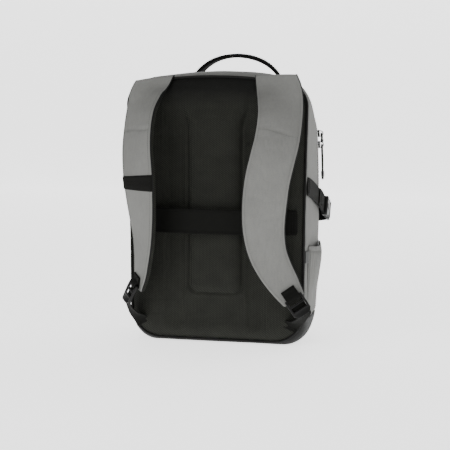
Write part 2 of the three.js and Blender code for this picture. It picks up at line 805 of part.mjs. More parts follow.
// Padded grip: eight-sided sections that flatten where the ends are sewn to the bag.
function makeHaulHandle() {
  const side = handleRows.map((row) => {
    const x = handleHalfSpan * row.along;
    const thickness = THREE.MathUtils.lerp(handleEndWall, handleWall, row.wall);
    const rest = topAt(handleDepth, x) + 3 * seamGap + thickness / 2;
    const slope = (topAt(zipFront + handleWidth, x) - topAt(zipFront, x)) / handleWidth;
    return {
      point: vec(x, handleDepth, rest + handleRise * row.rise),
      thickness,
      wide: vec(0, 1, slope * (1 - row.rise)).normalize(),
    };
  });
  const mirrored = side.slice(1).reverse().map((stop) => {
    return { ...stop, point: vec(-stop.point.x, stop.point.y, stop.point.z) };
  });
  const line = [...mirrored, ...side];
  const rings = line.map(({ point, thickness, wide }, index) => {
    const before = line[Math.max(index - 1, 0)].point;
    const after = line[Math.min(index + 1, line.length - 1)].point;
    const along = after.clone().sub(before).normalize();
    const up = new THREE.Vector3().crossVectors(along, wide).normalize();
    return steps(8).slice(0, -1).map((t) => {
      const turn = (t + 1 / 16) * 2 * Math.PI;
      const reach = Math.sign(Math.cos(turn)) * Math.abs(Math.cos(turn)) ** 0.5;
      return point.clone()
        .addScaledVector(wide, reach * handleWidth / 2)
        .addScaledVector(up, Math.sin(turn) * thickness / 2);
    });
  });
  return loft(rings);
}

// Height of the compression strap's middle at one depth along the side.
function sideWebHeight(depth) {
  return sideWebRearHeight - sideWebDrop * depth / zipFront;
}

const buckleStart = zipFront + 3;
const sideSlope = vec(0, zipFront, -sideWebDrop).normalize();

function sideWebX(depth) {
  const surfaces = [-1, 0, 1].map((edge) => {
    return sideAt(Math.min(depth, zipMiddle), sideWebHeight(depth) + edge * sideWebWidth / 2);
  });
  return Math.max(...surfaces) + 2 * seamGap + webWall / 2;
}

// Frame of the side buckle, which carries the webbing's line straight on past the zip.
function buckleFrame(sign) {
  const origin = vec(sign * (sideWebX(zipMiddle) + 1), buckleStart, sideWebHeight(buckleStart));
  const face = vec(sign, 0, 0);
  const along = sideSlope.clone();
  const across = new THREE.Vector3().crossVectors(face, along);
  return { origin, across, along, face };
}

function makeSideWeb(sign) {
  const rear = rearEdge + 1.5;
  const across = new THREE.Vector3().crossVectors(vec(sign, 0, 0), sideSlope);
  const stops = steps(7).map((t) => {
    const depth = THREE.MathUtils.lerp(rear, buckleStart - seamGap, t);
    return {
      point: vec(sign * sideWebX(depth), depth, sideWebHeight(depth)),
      across,
      face: vec(sign, 0, 0),
    };
  });
  return makeWeb(stops, sideWebWidth, webWall);
}

// Socket half of the side-release buckle: X across, Y along, Z out. Its throat takes the tongue.
function makeBuckle() {
  const half = buckleWidth / 2;
  const outline = new THREE.Shape();
  outline.moveTo(-half + 3, 0);
  outline.lineTo(half - 3, 0);
  outline.lineTo(half, 4);
  outline.lineTo(half, buckleLength * 0.6);
  outline.lineTo(half - 3, buckleLength);
  outline.lineTo(-half + 3, buckleLength);
  outline.lineTo(-half, buckleLength * 0.6);
  outline.lineTo(-half, 4);
  const block = new THREE.ExtrudeGeometry(outline, { depth: buckleThickness, bevelEnabled: false });
  block.translate(0, 0, -buckleThickness / 2 + 2);
  const throatHalf = tongueBladeWidth / 2 + seamGap;
  const throatWall = tongueBladeWall / 2 + seamGap;
  const throat = boxSolid(vec(-throatHalf, buckleLength - bladeLength - 1, 2 - throatWall),
    vec(throatHalf, buckleLength + 1, 2 + throatWall));
  return toGeometry(toSolid(block).subtract(throat));
}

// Tongue half: a blade in the socket's throat and a wider bar that holds the webbing.
function makeTongue() {
  const half = buckleWidth / 2 - 1;
  const bar = boxSolid(vec(-half, buckleLength + seamGap, -0.5),
    vec(half, buckleLength + tongueLength, 4.5));
  const blade = boxSolid(
    vec(-tongueBladeWidth / 2, buckleLength - bladeLength, 2 - tongueBladeWall / 2),
    vec(tongueBladeWidth / 2, buckleLength + 1, 2 + tongueBladeWall / 2),
  );
  return toGeometry(bar.add(blade));
}

// Webbing from the tongue back to the front shell, where it is sewn down.
function makeTailWeb(sign) {
  const frame = buckleFrame(sign);
  const startLocal = buckleLength + tongueLength + 3 * seamGap;
  const begin = frame.origin.clone()
    .addScaledVector(frame.along, startLocal)
    .addScaledVector(frame.face, 2);
  const height = begin.z - tailDrop;
  const surface = (depth) => sideAt(depth, height);
  const slope = vec(surface(tailSewnDepth + 2) - surface(tailSewnDepth - 2), 4, 0).normalize();
  const out = vec(slope.y, -slope.x, 0);
  const sewn = vec(surface(tailSewnDepth), tailSewnDepth, height)
    .addScaledVector(out, webWall / 2);
  sewn.x *= sign;
  const bend = begin.clone().addScaledVector(frame.along, 2.5).add(vec(-sign * 2, 0, 0));
  const curve = new THREE.CatmullRomCurve3([begin, bend, sewn]);
  const stops = steps(6).map((t) => {
    const along = curve.getTangent(t);
    const across = frame.across.clone().addScaledVector(along, -frame.across.dot(along)).normalize();
    const face = new THREE.Vector3().crossVectors(across, along).normalize();
    return { point: curve.getPoint(t), across, face };
  });
  return makeWeb(stops, sideWebWidth - 2, webWall);
}

// Open pocket on the side: sewn along its edges and bottom, standing open at the mouth.
function makeSidePocket(sign) {
  const heights = steps(6);
  const depths = steps(8);
  const grid = (lift) => heights.map((v) => depths.map((u) => {
    const mouth = pocketMouth - mouthDip * Math.sin(Math.PI * u);
    const z = THREE.MathUtils.lerp(pocketBottom, mouth, v);
    const y = THREE.MathUtils.lerp(pocketRear, pocketFront, u);
    const bulge = pocketBulge * Math.sin(Math.PI * u) ** 0.8 * THREE.MathUtils.smoothstep(v, 0.1, 1);
    return vec(sign * (sideAt(y, z) + 2 * seamGap + bulge + lift), y, z);
  }));
  return wall(grid(pocketWall), grid(0));
}

function makeSideTag() {
  const y = rearEdge + 1.5;
  const x = (depth) => sideAt(depth, tagCentreHeight) + 2 * seamGap;
  const ends = [y, y + tagLength];
  const grid = (lift) => [-1, 1].map((up) => ends.map((depth) => {
    return vec(x(depth) + lift, depth, tagCentreHeight + up * tagHeight / 2);
  }));
  return wall(grid(tagWall), grid(0));
}

// Rounded rectangle on the bag's front face, drawn in by an inset.
function frontPocketRing(inset, y) {
  const half = frontPocketHalfWidth - inset;
  const low = frontPocketBottom + inset;
  const high = frontPocketBottom + frontPocketHeight - inset;
  const radius = Math.max(frontPocketCorner - inset, frontPocketLeastCorner);
  const points = [[0, low]];
  steps(3).forEach((t) => {
    const turn = (t - 1) * Math.PI / 2;
    points.push([half - radius + radius * Math.cos(turn), low + radius + radius * Math.sin(turn)]);
  });
  points.push([half, (low + high) / 2]);
  steps(3).forEach((t) => {
    const turn = t * Math.PI / 2;
    points.push([half - radius + radius * Math.cos(turn), high - radius + radius * Math.sin(turn)]);
  });
  points.push([0, high]);
  return mirroredLoop(points).map(([x, z]) => vec(x, y, z));
}

// The front pocket is a shallow dome of cloth on the front face, hollow behind.
function makeFrontDome() {
  const base = bagDepth + seamGap;
  const full = base + frontPocketBulge;
  const outer = domeSections.map(({ inset, rise }) => {
    return frontPocketRing(frontPocketSlope * inset, THREE.MathUtils.lerp(base, full, rise));
  });
  const inner = domeSections.map(({ inset, rise }) => {
    const y = THREE.MathUtils.lerp(base, full - pocketWall, rise);
    return frontPocketRing(frontPocketSlope * inset + pocketWall, y);
  });
  const middle = frontPocketBottom + frontPocketHeight / 2;
  return toSolid(loft([...outer.reverse(), ...inner],
    vec(0, full, middle), vec(0, full - pocketWall, middle)));
}

const frontDome = makeFrontDome();

// Depth of the dome's outer face on its middle line, at one height.
function domeFaceAt(z) {
  const fromEdge = Math.min(z - frontPocketBottom, frontPocketBottom + frontPocketHeight - z);
  const share = fromEdge / frontPocketSlope;
  const next = Math.max(domeSections.findIndex(({ inset }) => inset >= share), 1);
  if (share >= 1) return bagDepth + seamGap + frontPocketBulge;
  const [below, above] = [domeSections[next - 1], domeSections[next]];
  const t = (share - below.inset) / (above.inset - below.inset);
  return bagDepth + seamGap + frontPocketBulge * THREE.MathUtils.lerp(below.rise, above.rise, t);
}

function frontZipBox(grow) {
  const half = frontZipTape / 2 + grow;
  return boxSolid(vec(-frontZipHalfLength - grow, bagDepth + frontPocketBulge / 2, frontZipHeight - half),
    vec(frontZipHalfLength + grow, farAway, frontZipHeight + half));
}

function makeFrontPocket() {
  return toGeometry(frontDome.subtract(frontZipBox(halfGap)));
}

function makeFrontZip() {
  return toGeometry(frontDome.intersect(frontZipBox(-halfGap)));
}

// Zip slider: X across the zip, Y along it, Z out. A hooped eye on its plate takes the cord.
function makeSlider() {
  const plate = boxSolid(vec(-sliderWidth / 2, -sliderLength / 2, 0),
    vec(sliderWidth / 2, sliderLength / 2, sliderWall));
  const hoop = new THREE.Shape();
  hoop.moveTo(-eyeHalfLength, 0);
  hoop.lineTo(eyeHalfLength, 0);
  hoop.lineTo(0.8 * eyeHalfLength, eyeRise * 0.75);
  hoop.lineTo(0.4 * eyeHalfLength, eyeRise);
  hoop.lineTo(-0.4 * eyeHalfLength, eyeRise);
  hoop.lineTo(-0.8 * eyeHalfLength, eyeRise * 0.75);
  hoop.closePath();
  const hole = new THREE.Path();
  hole.absarc(0, eyeRise - eyeHole / 2 - 1.2, eyeHole / 2, 0, 2 * Math.PI);
  hoop.holes.push(hole);
  const eye = new THREE.ExtrudeGeometry(hoop, { depth: 3, bevelEnabled: false, curveSegments: 4 });
  eye.translate(0, 0, -1.5);
  eye.rotateX(Math.PI / 2);
  eye.rotateZ(Math.PI / 2);
  eye.translate(0, 0, sliderWall - 0.5);
  return toGeometry(plate.add(toSolid(eye)));
}

const eyeCentre = sliderWall - 0.5 + eyeRise - eyeHole / 2 - 1.2;

// Cord loop through a slider's eye, with both ends in a moulded grip: Y runs down the pull.
function makePull(length, gripLength) {
  const spread = 3;
  const gripStart = length - gripLength;
  const points = [
    vec(-spread, gripStart + 2, eyeCentre),
    vec(-spread - 1, gripStart * 0.5, eyeCentre),
    vec(-spread - 0.3, 2, eyeCentre),
    vec(-1.5, 0, eyeCentre),
    vec(1.5, 0, eyeCentre),
    vec(spread + 0.3, 2, eyeCentre),
    vec(spread + 1, gripStart * 0.5, eyeCentre),
    vec(spread, gripStart + 2, eyeCentre),
  ];
  const curve = new THREE.CatmullRomCurve3(points);
  const cord = loft(steps(points.length * 2).map((t) => {
    const along = curve.getTangent(t);
    const point = curve.getPoint(t);
    return steps(6).slice(0, -1).map((share) => {
      const turn = share * 2 * Math.PI;
      return point.clone()
        .addScaledVector(vec(-along.y, along.x, 0), cordRadius * Math.cos(turn))
        .add(vec(0, 0, cordRadius * Math.sin(turn)));
    });
  }));
  const ring = (share, y) => {
    const half = gripWidth / 2 * share;
    const thick = gripWall / 2 * share;
    const middle = eyeCentre;
    const both = spread + cordRadius;
    return [
      vec(-both - half, y, middle), vec(-both, y, middle - thick), vec(both, y, middle - thick),
      vec(both + half, y, middle), vec(both, y, middle + thick), vec(-both, y, middle + thick),
    ];
  };
  const grip = loft([
    ring(0.7, gripStart),
    ring(1, gripStart + 2),
    ring(1, gripStart + gripLength * 0.6),
    ring(0.6, gripStart + gripLength),
  ]);
  return toGeometry(toSolid(cord).add(toSolid(grip)));
}

// Materials
function material(name, color, roughness, metalness = 0) {
  return new THREE.MeshStandardMaterial({ name, color, roughness, metalness });
}

const finishes = {
  greyCloth: () => material('grey_cloth', 0x7f7f7a, 0.85),
  blackMesh: () => material('black_mesh', 0x23241f, 0.9),
  blackCloth: () => material('black_cloth', 0x1f201d, 0.85),
  webbing: () => material('black_webbing', 0x1b1c1a, 0.8),
  plastic: () => material('black_plastic', 0x151614, 0.45),
  zipTape: () => material('zip_tape', 0x1a1a1a, 0.8),
  cord: () => material('pull_cord', 0x161616, 0.7),
  tag: () => material('tag_cloth', 0x4a4b4a, 0.8),
};

const backpack = new THREE.Group();
backpack.position.y = -standDepth;

function addPiece(name, geometry, finish, frame = null) {
  geometry.computeVertexNormals();
  const mesh = new THREE.Mesh(geometry, finish());
  mesh.name = name;
  if (frame) {
    const basis = new THREE.Matrix4().makeBasis(frame.across, frame.along, frame.face);
    mesh.position.copy(frame.origin);
    mesh.quaternion.setFromRotationMatrix(basis);
  }
  backpack.add(mesh);
}

// Right-handed frame out of an origin, a direction along the piece and its face.
function frameFrom(origin, along, face) {
  const across = new THREE.Vector3().crossVectors(along, face).normalize();
  return { origin, across, along, face };
}

addPiece('gusset', makeGusset(), finishes.greyCloth);
addPiece('base_panel', makeBasePanel(), finishes.blackCloth);
addPiece('front_shell', makeFrontShell(), finishes.greyCloth);
addPiece('main_zip', makeMainZip(), finishes.zipTape);
addPiece('back_panel', makeBackPanel(), finishes.blackMesh);
addPiece('back_piping', makePiping(), finishes.blackCloth);
addPiece('trolley_band', makeTrolleyBand(), finishes.webbing);
addPiece('haul_handle', makeHaulHandle(), finishes.webbing);
addPiece('side_tag', makeSideTag(), finishes.tag);
addPiece('front_pocket', makeFrontPocket(), finishes.greyCloth);
addPiece('front_pocket_zip', makeFrontZip(), finishes.zipTape);
addPiece('strap_loop_left', makeStrapLoop(leftStrapRows, -1), finishes.webbing);

const sides = [
  { side: 'left', sign: -1, frames: leftFrames },
  { side: 'right', sign: 1, frames: rightFrames },
];
sides.forEach(({ side, sign, frames }) => {
  addPiece(`shoulder_strap_${side}`, makeStrapFace(frames), finishes.greyCloth);
  addPiece(`strap_pad_${side}`, makeStrapPad(frames), finishes.blackMesh);
  addPiece(`strap_end_webbing_${side}`, makeEndWebbing(frames), finishes.webbing);
  const lock = lockFrame(frames);
  const lockOrigin = lockPoint(lock, 0, lockLift);
  addPiece(`ladder_lock_${side}`, makeLadderLock(), finishes.plastic,
    frameFrom(lockOrigin, lock.along, lock.face));
  addPiece(`lower_webbing_${side}`, makeLowerWebbing(frames, sign), finishes.webbing);
  addPiece(`compression_strap_${side}`, makeSideWeb(sign), finishes.webbing);
  const buckle = buckleFrame(sign);
  const buckleBasis = frameFrom(buckle.origin, buckle.along, buckle.face);
  addPiece(`side_buckle_${side}`, makeBuckle(), finishes.plastic, buckleBasis);
  addPiece(`side_tongue_${side}`, makeTongue(), finishes.plastic, buckleBasis);
  addPiece(`compression_tail_${side}`, makeTailWeb(sign), finishes.webbing);
  addPiece(`side_pocket_${side}`, makeSidePocket(sign), finishes.greyCloth);
});

// Sliders of the main zip hang on the right-hand side with their cords.
[
  { place: 'upper', height: upperSliderHeight, length: upperPullLength, grip: shortGrip },
  { place: 'lower', height: lowerSliderHeight, length: lowerPullLength, grip: longGrip },
].forEach(({ place, height, length, grip }) => {
  const near = 6;
  const surface = (z) => vec(sideAt(zipMiddle, z), zipMiddle, z);
  const along = surface(height - near).sub(surface(height + near)).normalize();
  const face = vec(-along.z, 0, along.x);
  const origin = surface(height).addScaledVector(face, 2 * seamGap);
  const frame = frameFrom(origin, along, face);
  addPiece(`main_slider_${place}`, makeSlider(), finishes.plastic, frame);
  addPiece(`main_pull_${place}`, makePull(length, grip), finishes.cord, frame);
});

const frontSliderDepth = domeFaceAt(frontZipHeight - sliderWidth / 2) + 2 * seamGap;
const frontSliderFrame = frameFrom(
  vec(frontZipHalfLength - 2 * sliderLength, frontSliderDepth, frontZipHeight),
  vec(-1, 0, 0),
  vec(0, 1, 0),
);
addPiece('front_pocket_slider', makeSlider(), finishes.plastic, frontSliderFrame);
addPiece('front_pocket_pull', makePull(frontPullLength, longGrip), finishes.cord, frontSliderFrame);

export default backpack;
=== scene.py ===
import math

import bpy
import numpy as np
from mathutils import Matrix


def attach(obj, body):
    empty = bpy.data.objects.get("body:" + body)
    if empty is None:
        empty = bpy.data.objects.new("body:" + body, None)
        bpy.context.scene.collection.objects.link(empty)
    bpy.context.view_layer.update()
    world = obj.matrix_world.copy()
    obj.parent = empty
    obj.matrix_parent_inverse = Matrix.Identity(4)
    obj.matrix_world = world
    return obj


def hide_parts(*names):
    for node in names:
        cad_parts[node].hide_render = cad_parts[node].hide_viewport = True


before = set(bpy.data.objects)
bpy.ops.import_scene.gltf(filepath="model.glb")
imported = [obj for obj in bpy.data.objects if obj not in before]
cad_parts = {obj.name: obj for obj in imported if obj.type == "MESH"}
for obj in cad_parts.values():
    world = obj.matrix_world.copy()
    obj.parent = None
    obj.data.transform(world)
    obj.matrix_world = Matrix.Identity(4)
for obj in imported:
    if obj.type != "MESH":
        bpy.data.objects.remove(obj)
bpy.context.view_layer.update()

# Shapes are worked out in millimetres with depth counted from the back panel's seam, as the part's
# own source does, and every finished mesh is put into the row's frame in metres.
standDepth = 80
mm = 0.001


# Meshes
def vec(*values):
    return np.array(values, float)


def unit(a):
    return a / np.maximum(np.linalg.norm(a, axis=-1, keepdims=True), 1e-9)


# Smoothstep: 3t^2 - 2t^3 with t the share of the way from low to high.
def smooth(a, low, high):
    t = np.clip((np.asarray(a, float) - low) / (high - low), 0, 1)
    return t * t * (3 - 2 * t)


# Bell curve e^-(a/width)^2, one at zero and gone two widths away.
def ridge(a, width):
    return np.exp(-((np.asarray(a, float) / width) ** 2))


# Lattice noise from -1 to 1: random values at the corners of cells of one size, blended by
# smoothstep along each axis.
def noise(points, size, seed=0):
    p = np.asarray(points, float) / size + 37.0 * seed
    cell = np.floor(p).astype(np.int64)
    t = p - cell
    t = t * t * (3 - 2 * t)
    total = np.zeros(p.shape[:-1])
    for corner in np.ndindex(2, 2, 2):
        c = cell + np.array(corner)
        mixed = (c[..., 0] * 73856093) ^ (c[..., 1] * 19349663) ^ (c[..., 2] * 83492791)
        mixed = (mixed ^ (mixed >> 13)) * 1274126177
        value = ((mixed & 0xFFFF) / 32767.5) - 1
        weight = np.prod(np.where(np.array(corner) == 1, t, 1 - t), axis=-1)
        total += value * weight
    return total


# Cross product of the differences along the rows and along the columns.
def gridNormals(grid, wrapColumns=False):
    down = np.gradient(grid, axis=0)
    if wrapColumns:
        across = (np.roll(grid, -1, axis=1) - np.roll(grid, 1, axis=1)) / 2
    else:
        across = np.gradient(grid, axis=1)
    return unit(np.cross(down, across))


# The grid's normals, turned so that most of them point away from a centre.
def outwardNormals(grid, centre, wrapColumns=False):
    normals = gridNormals(grid, wrapColumns)
    return normals * np.sign(np.sum(normals * (grid - centre)))


# Moves each point halfway to the mean of its two neighbours in its row, a few times over.
def relax(grid, times=2, wrapColumns=True):
    for _ in range(times):
        if wrapColumns:
            grid = grid / 2 + (np.roll(grid, 1, axis=1) + np.roll(grid, -1, axis=1)) / 4
        else:
            inner = grid[:, 1:-1] / 2 + (grid[:, :-2] + grid[:, 2:]) / 4
            grid = np.concatenate([grid[:, :1], inner, grid[:, -1:]], axis=1)
    return grid


# Distance run along the middle column and along the middle row, in millimetres.
def gridLengths(grid, wrapColumns=False):
    middleColumn = grid[:, grid.shape[1] // 2]
    down = np.r_[0, np.cumsum(np.linalg.norm(np.diff(middleColumn, axis=0), axis=1))]
    middleRow = grid[grid.shape[0] // 2]
    if wrapColumns:
        middleRow = np.concatenate([middleRow, middleRow[:1]])
    across = np.r_[0, np.cumsum(np.linalg.norm(np.diff(middleRow, axis=0), axis=1))]
    return down, across


# Takes a piece and its grid, works out the cross product of the diagonals of each of the grid's
# quads, and hands the piece back as it is.
def declareCloth(piece, grid, wrapColumns=False):
    closed = np.concatenate([grid, grid[:, :1]], axis=1) if wrapColumns else grid
    diagonals = np.cross(closed[1:, 1:] - closed[:-1, :-1], closed[1:, :-1] - closed[:-1, 1:])
    return piece


# Points, faces and a UV in metres at each face corner, gathered before they become one mesh.
class Shape:
    def __init__(self):
        self.points, self.faces, self.uvs, self.total = [], [], [], 0

    # Quads between neighbouring points of a rows by columns grid.
    def grid(self, grid, wrapColumns=False, wrapRows=False, flip=False, awayFrom=None):
        rows, columns = grid.shape[:2]
        if awayFrom is not None:
            edges = np.cross(np.diff(grid, axis=1)[:-1], np.diff(grid, axis=0)[:, :-1])
            flip = np.sum(edges * (grid[:-1, :-1] - awayFrom)) < 0
        self.flipped = flip
        r = np.arange(rows if wrapRows else rows - 1)[:, None]
        c = np.arange(columns if wrapColumns else columns - 1)[None, :]
        nextR, nextC = (r + 1) % rows, (c + 1) % columns
        quads = np.stack(np.broadcast_arrays(
            r * columns + c, r * columns + nextC, nextR * columns + nextC, nextR * columns + c), -1)
        down, across = gridLengths(grid, wrapColumns)
        down = np.r_[down, down[-1] + 1]
        across = np.r_[across, across[-1] + 1]
        u = np.stack(np.broadcast_arrays(across[c], across[c + 1], across[c + 1], across[c]), -1)
        v = np.stack(np.broadcast_arrays(down[r], down[r], down[r + 1], down[r + 1]), -1)
        uv = np.stack(np.broadcast_arrays(u, v), -1).reshape(-1, 4, 2) * mm
        quads = quads.reshape(-1, 4)
        if flip:
            quads, uv = quads[:, ::-1], uv[:, ::-1]
        self.faces.append(quads + self.total)
        self.uvs.append(uv.reshape(-1, 2))
        self.points.append(grid.reshape(-1, 3))
        self.total += rows * columns
        return self

    # Tube through closed rings, with a fan of triangles to the middle of each end.
    def loft(self, rings):
        self.grid(rings, wrapColumns=True, awayFrom=rings.mean(axis=1, keepdims=True)[:-1])
        flip = self.flipped
        count = rings.shape[1]
        first = self.total - rings.shape[0] * count
        for ring, start, turned in ((rings[0], first, True), (rings[-1], self.total - count, False)):
            middle = self.total
            self.points.append(ring.mean(axis=0)[None])
            self.total += 1
            i = np.arange(count)
            j = (i + 1) % count
            fan = np.stack([start + i, start + j, np.full(count, middle)], -1)
            if turned != flip:
                fan = fan[:, ::-1]
            self.faces.append(fan)
            self.uvs.append(np.zeros((count * 3, 2)))
        return self

    # Many copies of one small closed form: points is copies by corners by three.
    def copies(self, points, faces):
        count, corners = points.shape[:2]
        offset = (np.arange(count) * corners)[:, None, None] + self.total
        for size in (3, 4):
            some = np.array([f for f in faces if len(f) == size])
            if len(some):
                whole = (some[None] + offset).reshape(-1, size)
                self.faces.append(whole)
                self.uvs.append(np.zeros((whole.size, 2)))
        self.points.append(points.reshape(-1, 3))
        self.total += count * corners
        return self

    # Makes the mesh object, in metres in the row's frame, and lets it ride on the body.
    def build(self, name, material, slotName, nodes=(), bevel=0, subdivide=0, thickness=0, flat=False):
        points = np.concatenate(self.points) - vec(0, standDepth, 0)
        sizes = np.concatenate([np.full(len(f), f.shape[1]) for f in self.faces])
        corners = np.concatenate([f.ravel() for f in self.faces])
        mesh = bpy.data.meshes.new(name)
        mesh.vertices.add(len(points))
        mesh.vertices.foreach_set("co", (points * mm).ravel().astype(np.float32))
        mesh.loops.add(len(corners))
        mesh.loops.foreach_set("vertex_index", corners.astype(np.int32))
        mesh.polygons.add(len(sizes))
        starts = np.r_[0, np.cumsum(sizes)[:-1]]
        mesh.polygons.foreach_set("loop_start", starts.astype(np.int32))
        layer = mesh.uv_layers.new(name="cloth")
        layer.data.foreach_set("uv", np.concatenate(self.uvs).ravel().astype(np.float32))
        mesh.update(calc_edges=True)
        mesh.validate()
        mesh.polygons.foreach_set("use_smooth", np.full(len(mesh.polygons), not flat))
        piece = bpy.data.objects.new(name, mesh)
        bpy.context.scene.collection.objects.link(piece)
        mesh.materials.append(material)
        if thickness:
            wall = piece.modifiers.new("wall", "SOLIDIFY")
            wall.thickness = thickness * mm
            wall.offset = -1
        if bevel:
            soften = piece.modifiers.new("soften", "BEVEL")
            soften.width = bevel * mm
            soften.segments = 2
            soften.limit_method = "ANGLE"
            soften.angle_limit = math.radians(35)
        if subdivide:
            rounder = piece.modifiers.new("rounder", "SUBSURF")
            rounder.levels = rounder.render_levels = subdivide
        if slotName:
            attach(piece, "root")
        if nodes:
            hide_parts(*nodes)
        return piece


# Bag body
bag = {
    "halfWidth": 154, "height": 463, "depth": 175, "zipMiddle": 111, "zipFront": 118, "rearEdge": 2.6,
    "baseHeight": 46, "topArch": 9, "lowTaper": 5, "bowHeight": 190, "wall": 1.6,
}
# depth, half, top, lift, topCorner, lowCorner and bow of each section, as shares of the sizes
bodyTable = np.array([
    [0, 1, 0.98, 0.012, 0.28, 0.34, -0.022],
    [0.1, 1.01, 0.991, 0, 0.33, 0.27, -0.015],
    [0.34, 1.015, 0.996, 0, 0.46, 0.22, 0.01],
    [0.634, 1.005, 0.982, 0, 0.66, 0.3, 0.05],
    [0.743, 0.965, 0.963, 0, 0.66, 0.34, 0.055],
    [0.874, 0.89, 0.94, 0.003, 0.62, 0.37, 0.06],
    [0.96, 0.8, 0.915, 0.016, 0.59, 0.37, 0.06],
    [1, 0.72, 0.885, 0.04, 0.52, 0.34, 0.06],
])
outlineParts = np.array([0, 0.12, 0.29, 0.69, 0.86, 1])


# Smooth cubic through a column, keyed on the first one, with the neighbours' chords as slopes.
def tableCurve(table, column, at):
    key, value = table[:, 0], table[:, column]
    index = np.arange(len(key))
    before, after = np.maximum(index - 1, 0), np.minimum(index + 1, len(key) - 1)
    slope = (value[after] - value[before]) / (key[after] - key[before])
    at = np.clip(np.asarray(at, float), key[0], key[-1])
    i = np.clip(np.searchsorted(key, at, side="right") - 1, 0, len(key) - 2)
    span = key[i + 1] - key[i]
    t = (at - key[i]) / span
    bend = slope[i] * span * t * (1 - t) ** 2 - slope[i + 1] * span * t * t * (1 - t)
    return value[i] + (value[i + 1] - value[i]) * (3 * t * t - 2 * t ** 3) + bend


# Half width, top, low, corner radii and bow of the outline at a depth, drawn in by an inset.
def bodySection(depth, inset=0.0):
    share = np.asarray(depth, float) / bag["depth"]
    half = bag["halfWidth"] * tableCurve(bodyTable, 1, share) - inset
    top = bag["height"] * tableCurve(bodyTable, 2, share) - inset
    low = bag["height"] * tableCurve(bodyTable, 3, share) + inset
    topRadius = bag["halfWidth"] * tableCurve(bodyTable, 4, share) - inset
    lowRadius = bag["halfWidth"] * tableCurve(bodyTable, 5, share) - inset
    archEnd = half - topRadius / 2
    for _ in range(4):
        angle = np.arctan(archEnd / (2 * bag["topArch"]))
        archEnd = half - topRadius + topRadius * np.cos(angle)
    corner = top - bag["topArch"] - topRadius * np.sin(angle)
    return half, top, low, topRadius, lowRadius, archEnd, angle, corner, tableCurve(bodyTable, 6, share)


# Share of the half width kept at a height: the sides lean in low down and bow away from bowHeight.
def widthShare(z, bow):
    below = np.maximum(1 - z / bag["height"], 0)
    away = 2 * (z - bag["bowHeight"]) / bag["height"]
    return 1 - bag["lowTaper"] / bag["halfWidth"] * below ** 2 - bow * away ** 2


# Point of the body's outline: round_ runs from 0 at the bottom centre over the right side to 1 at
# the top centre and on to 2, through a line, a corner arc, the side, the top arc and the arch.
def bodyPoint(round_, depth, inset=0.0):
    round_, depth, inset = np.broadcast_arrays(round_, depth, np.asarray(inset, float))
    half, top, low, topRadius, lowRadius, archEnd, angle, corner, bow = bodySection(depth, inset)
    u = np.where(round_ <= 1, round_, 2 - round_)
    a, b, c, d = outlineParts[1:5]
    t1, t2, t3 = u / a, (u - a) / (b - a), (u - b) / (c - b)
    t4, t5 = (u - c) / (d - c), (u - d) / (1 - d)
    turn = (t2 - 1) * math.pi / 2
    archX = archEnd * (1 - t5)
    x = np.select(
        [u < a, u < b, u < c, u < d],
        [(half - lowRadius) * t1, half - lowRadius + lowRadius * np.cos(turn), half,
         half - topRadius + topRadius * np.cos(angle * t4)], archX)
    z = np.select(
        [u < a, u < b, u < c, u < d],
        [low, low + lowRadius + lowRadius * np.sin(turn), low + lowRadius + (corner - low - lowRadius) * t3,
         corner + topRadius * np.sin(angle * t4)], top - bag["topArch"] * (archX / archEnd) ** 2)
    x = x * widthShare(z, bow)
    return np.stack([np.where(round_ <= 1, x, -x), depth, z], -1)


# Half width of the body's outer surface at a depth and a height.
def sideAt(depth, z):
    half, _, low, topRadius, lowRadius, _, _, corner, bow = bodySection(depth)
    fromLow = np.maximum(low + lowRadius - z, 0)
    fromTop = np.maximum(z - corner, 0)
    radius = np.where(fromTop > 0, topRadius, lowRadius)
    reach = np.sqrt(np.maximum(radius ** 2 - np.maximum(fromLow, fromTop) ** 2, 0))
    return (half - radius + reach) * widthShare(z, bow)


# Height of the body's top at a depth and a distance from the middle.
def topAt(depth, x):
    half, top, _, topRadius, _, archEnd, _, corner, bow = bodySection(depth)
    own = np.abs(x) / widthShare(top, bow)
    arc = corner + np.sqrt(np.maximum(topRadius ** 2 - np.maximum(own - half + topRadius, 0) ** 2, 0))
    return np.where(own < archEnd, top - bag["topArch"] * (own / archEnd) ** 2, arc)


# Soft unevenness of filled cloth along its normals: broad swells, finer creases, a dip at each seam
# and small puckers that die away from it.
def cloth(points, normals, seamDistance, seed=1, deep=1.0):
    swell = 1.1 * noise(points, 70, seed) + 0.5 * noise(points * vec(1, 1, 0.6), 28, seed + 1)
    crease = -0.45 * ridge(noise(points * vec(1, 1.4, 0.5), 46, seed + 2), 0.09)
    dip = -1.3 * ridge(seamDistance, 2.2)
    pucker = 0.4 * ridge(seamDistance - 5, 7) * noise(points, 9, seed + 3)
    away = smooth(seamDistance, 0, 12)
    return points + normals * ((swell * away + crease * away + dip + pucker) * deep)[..., None]


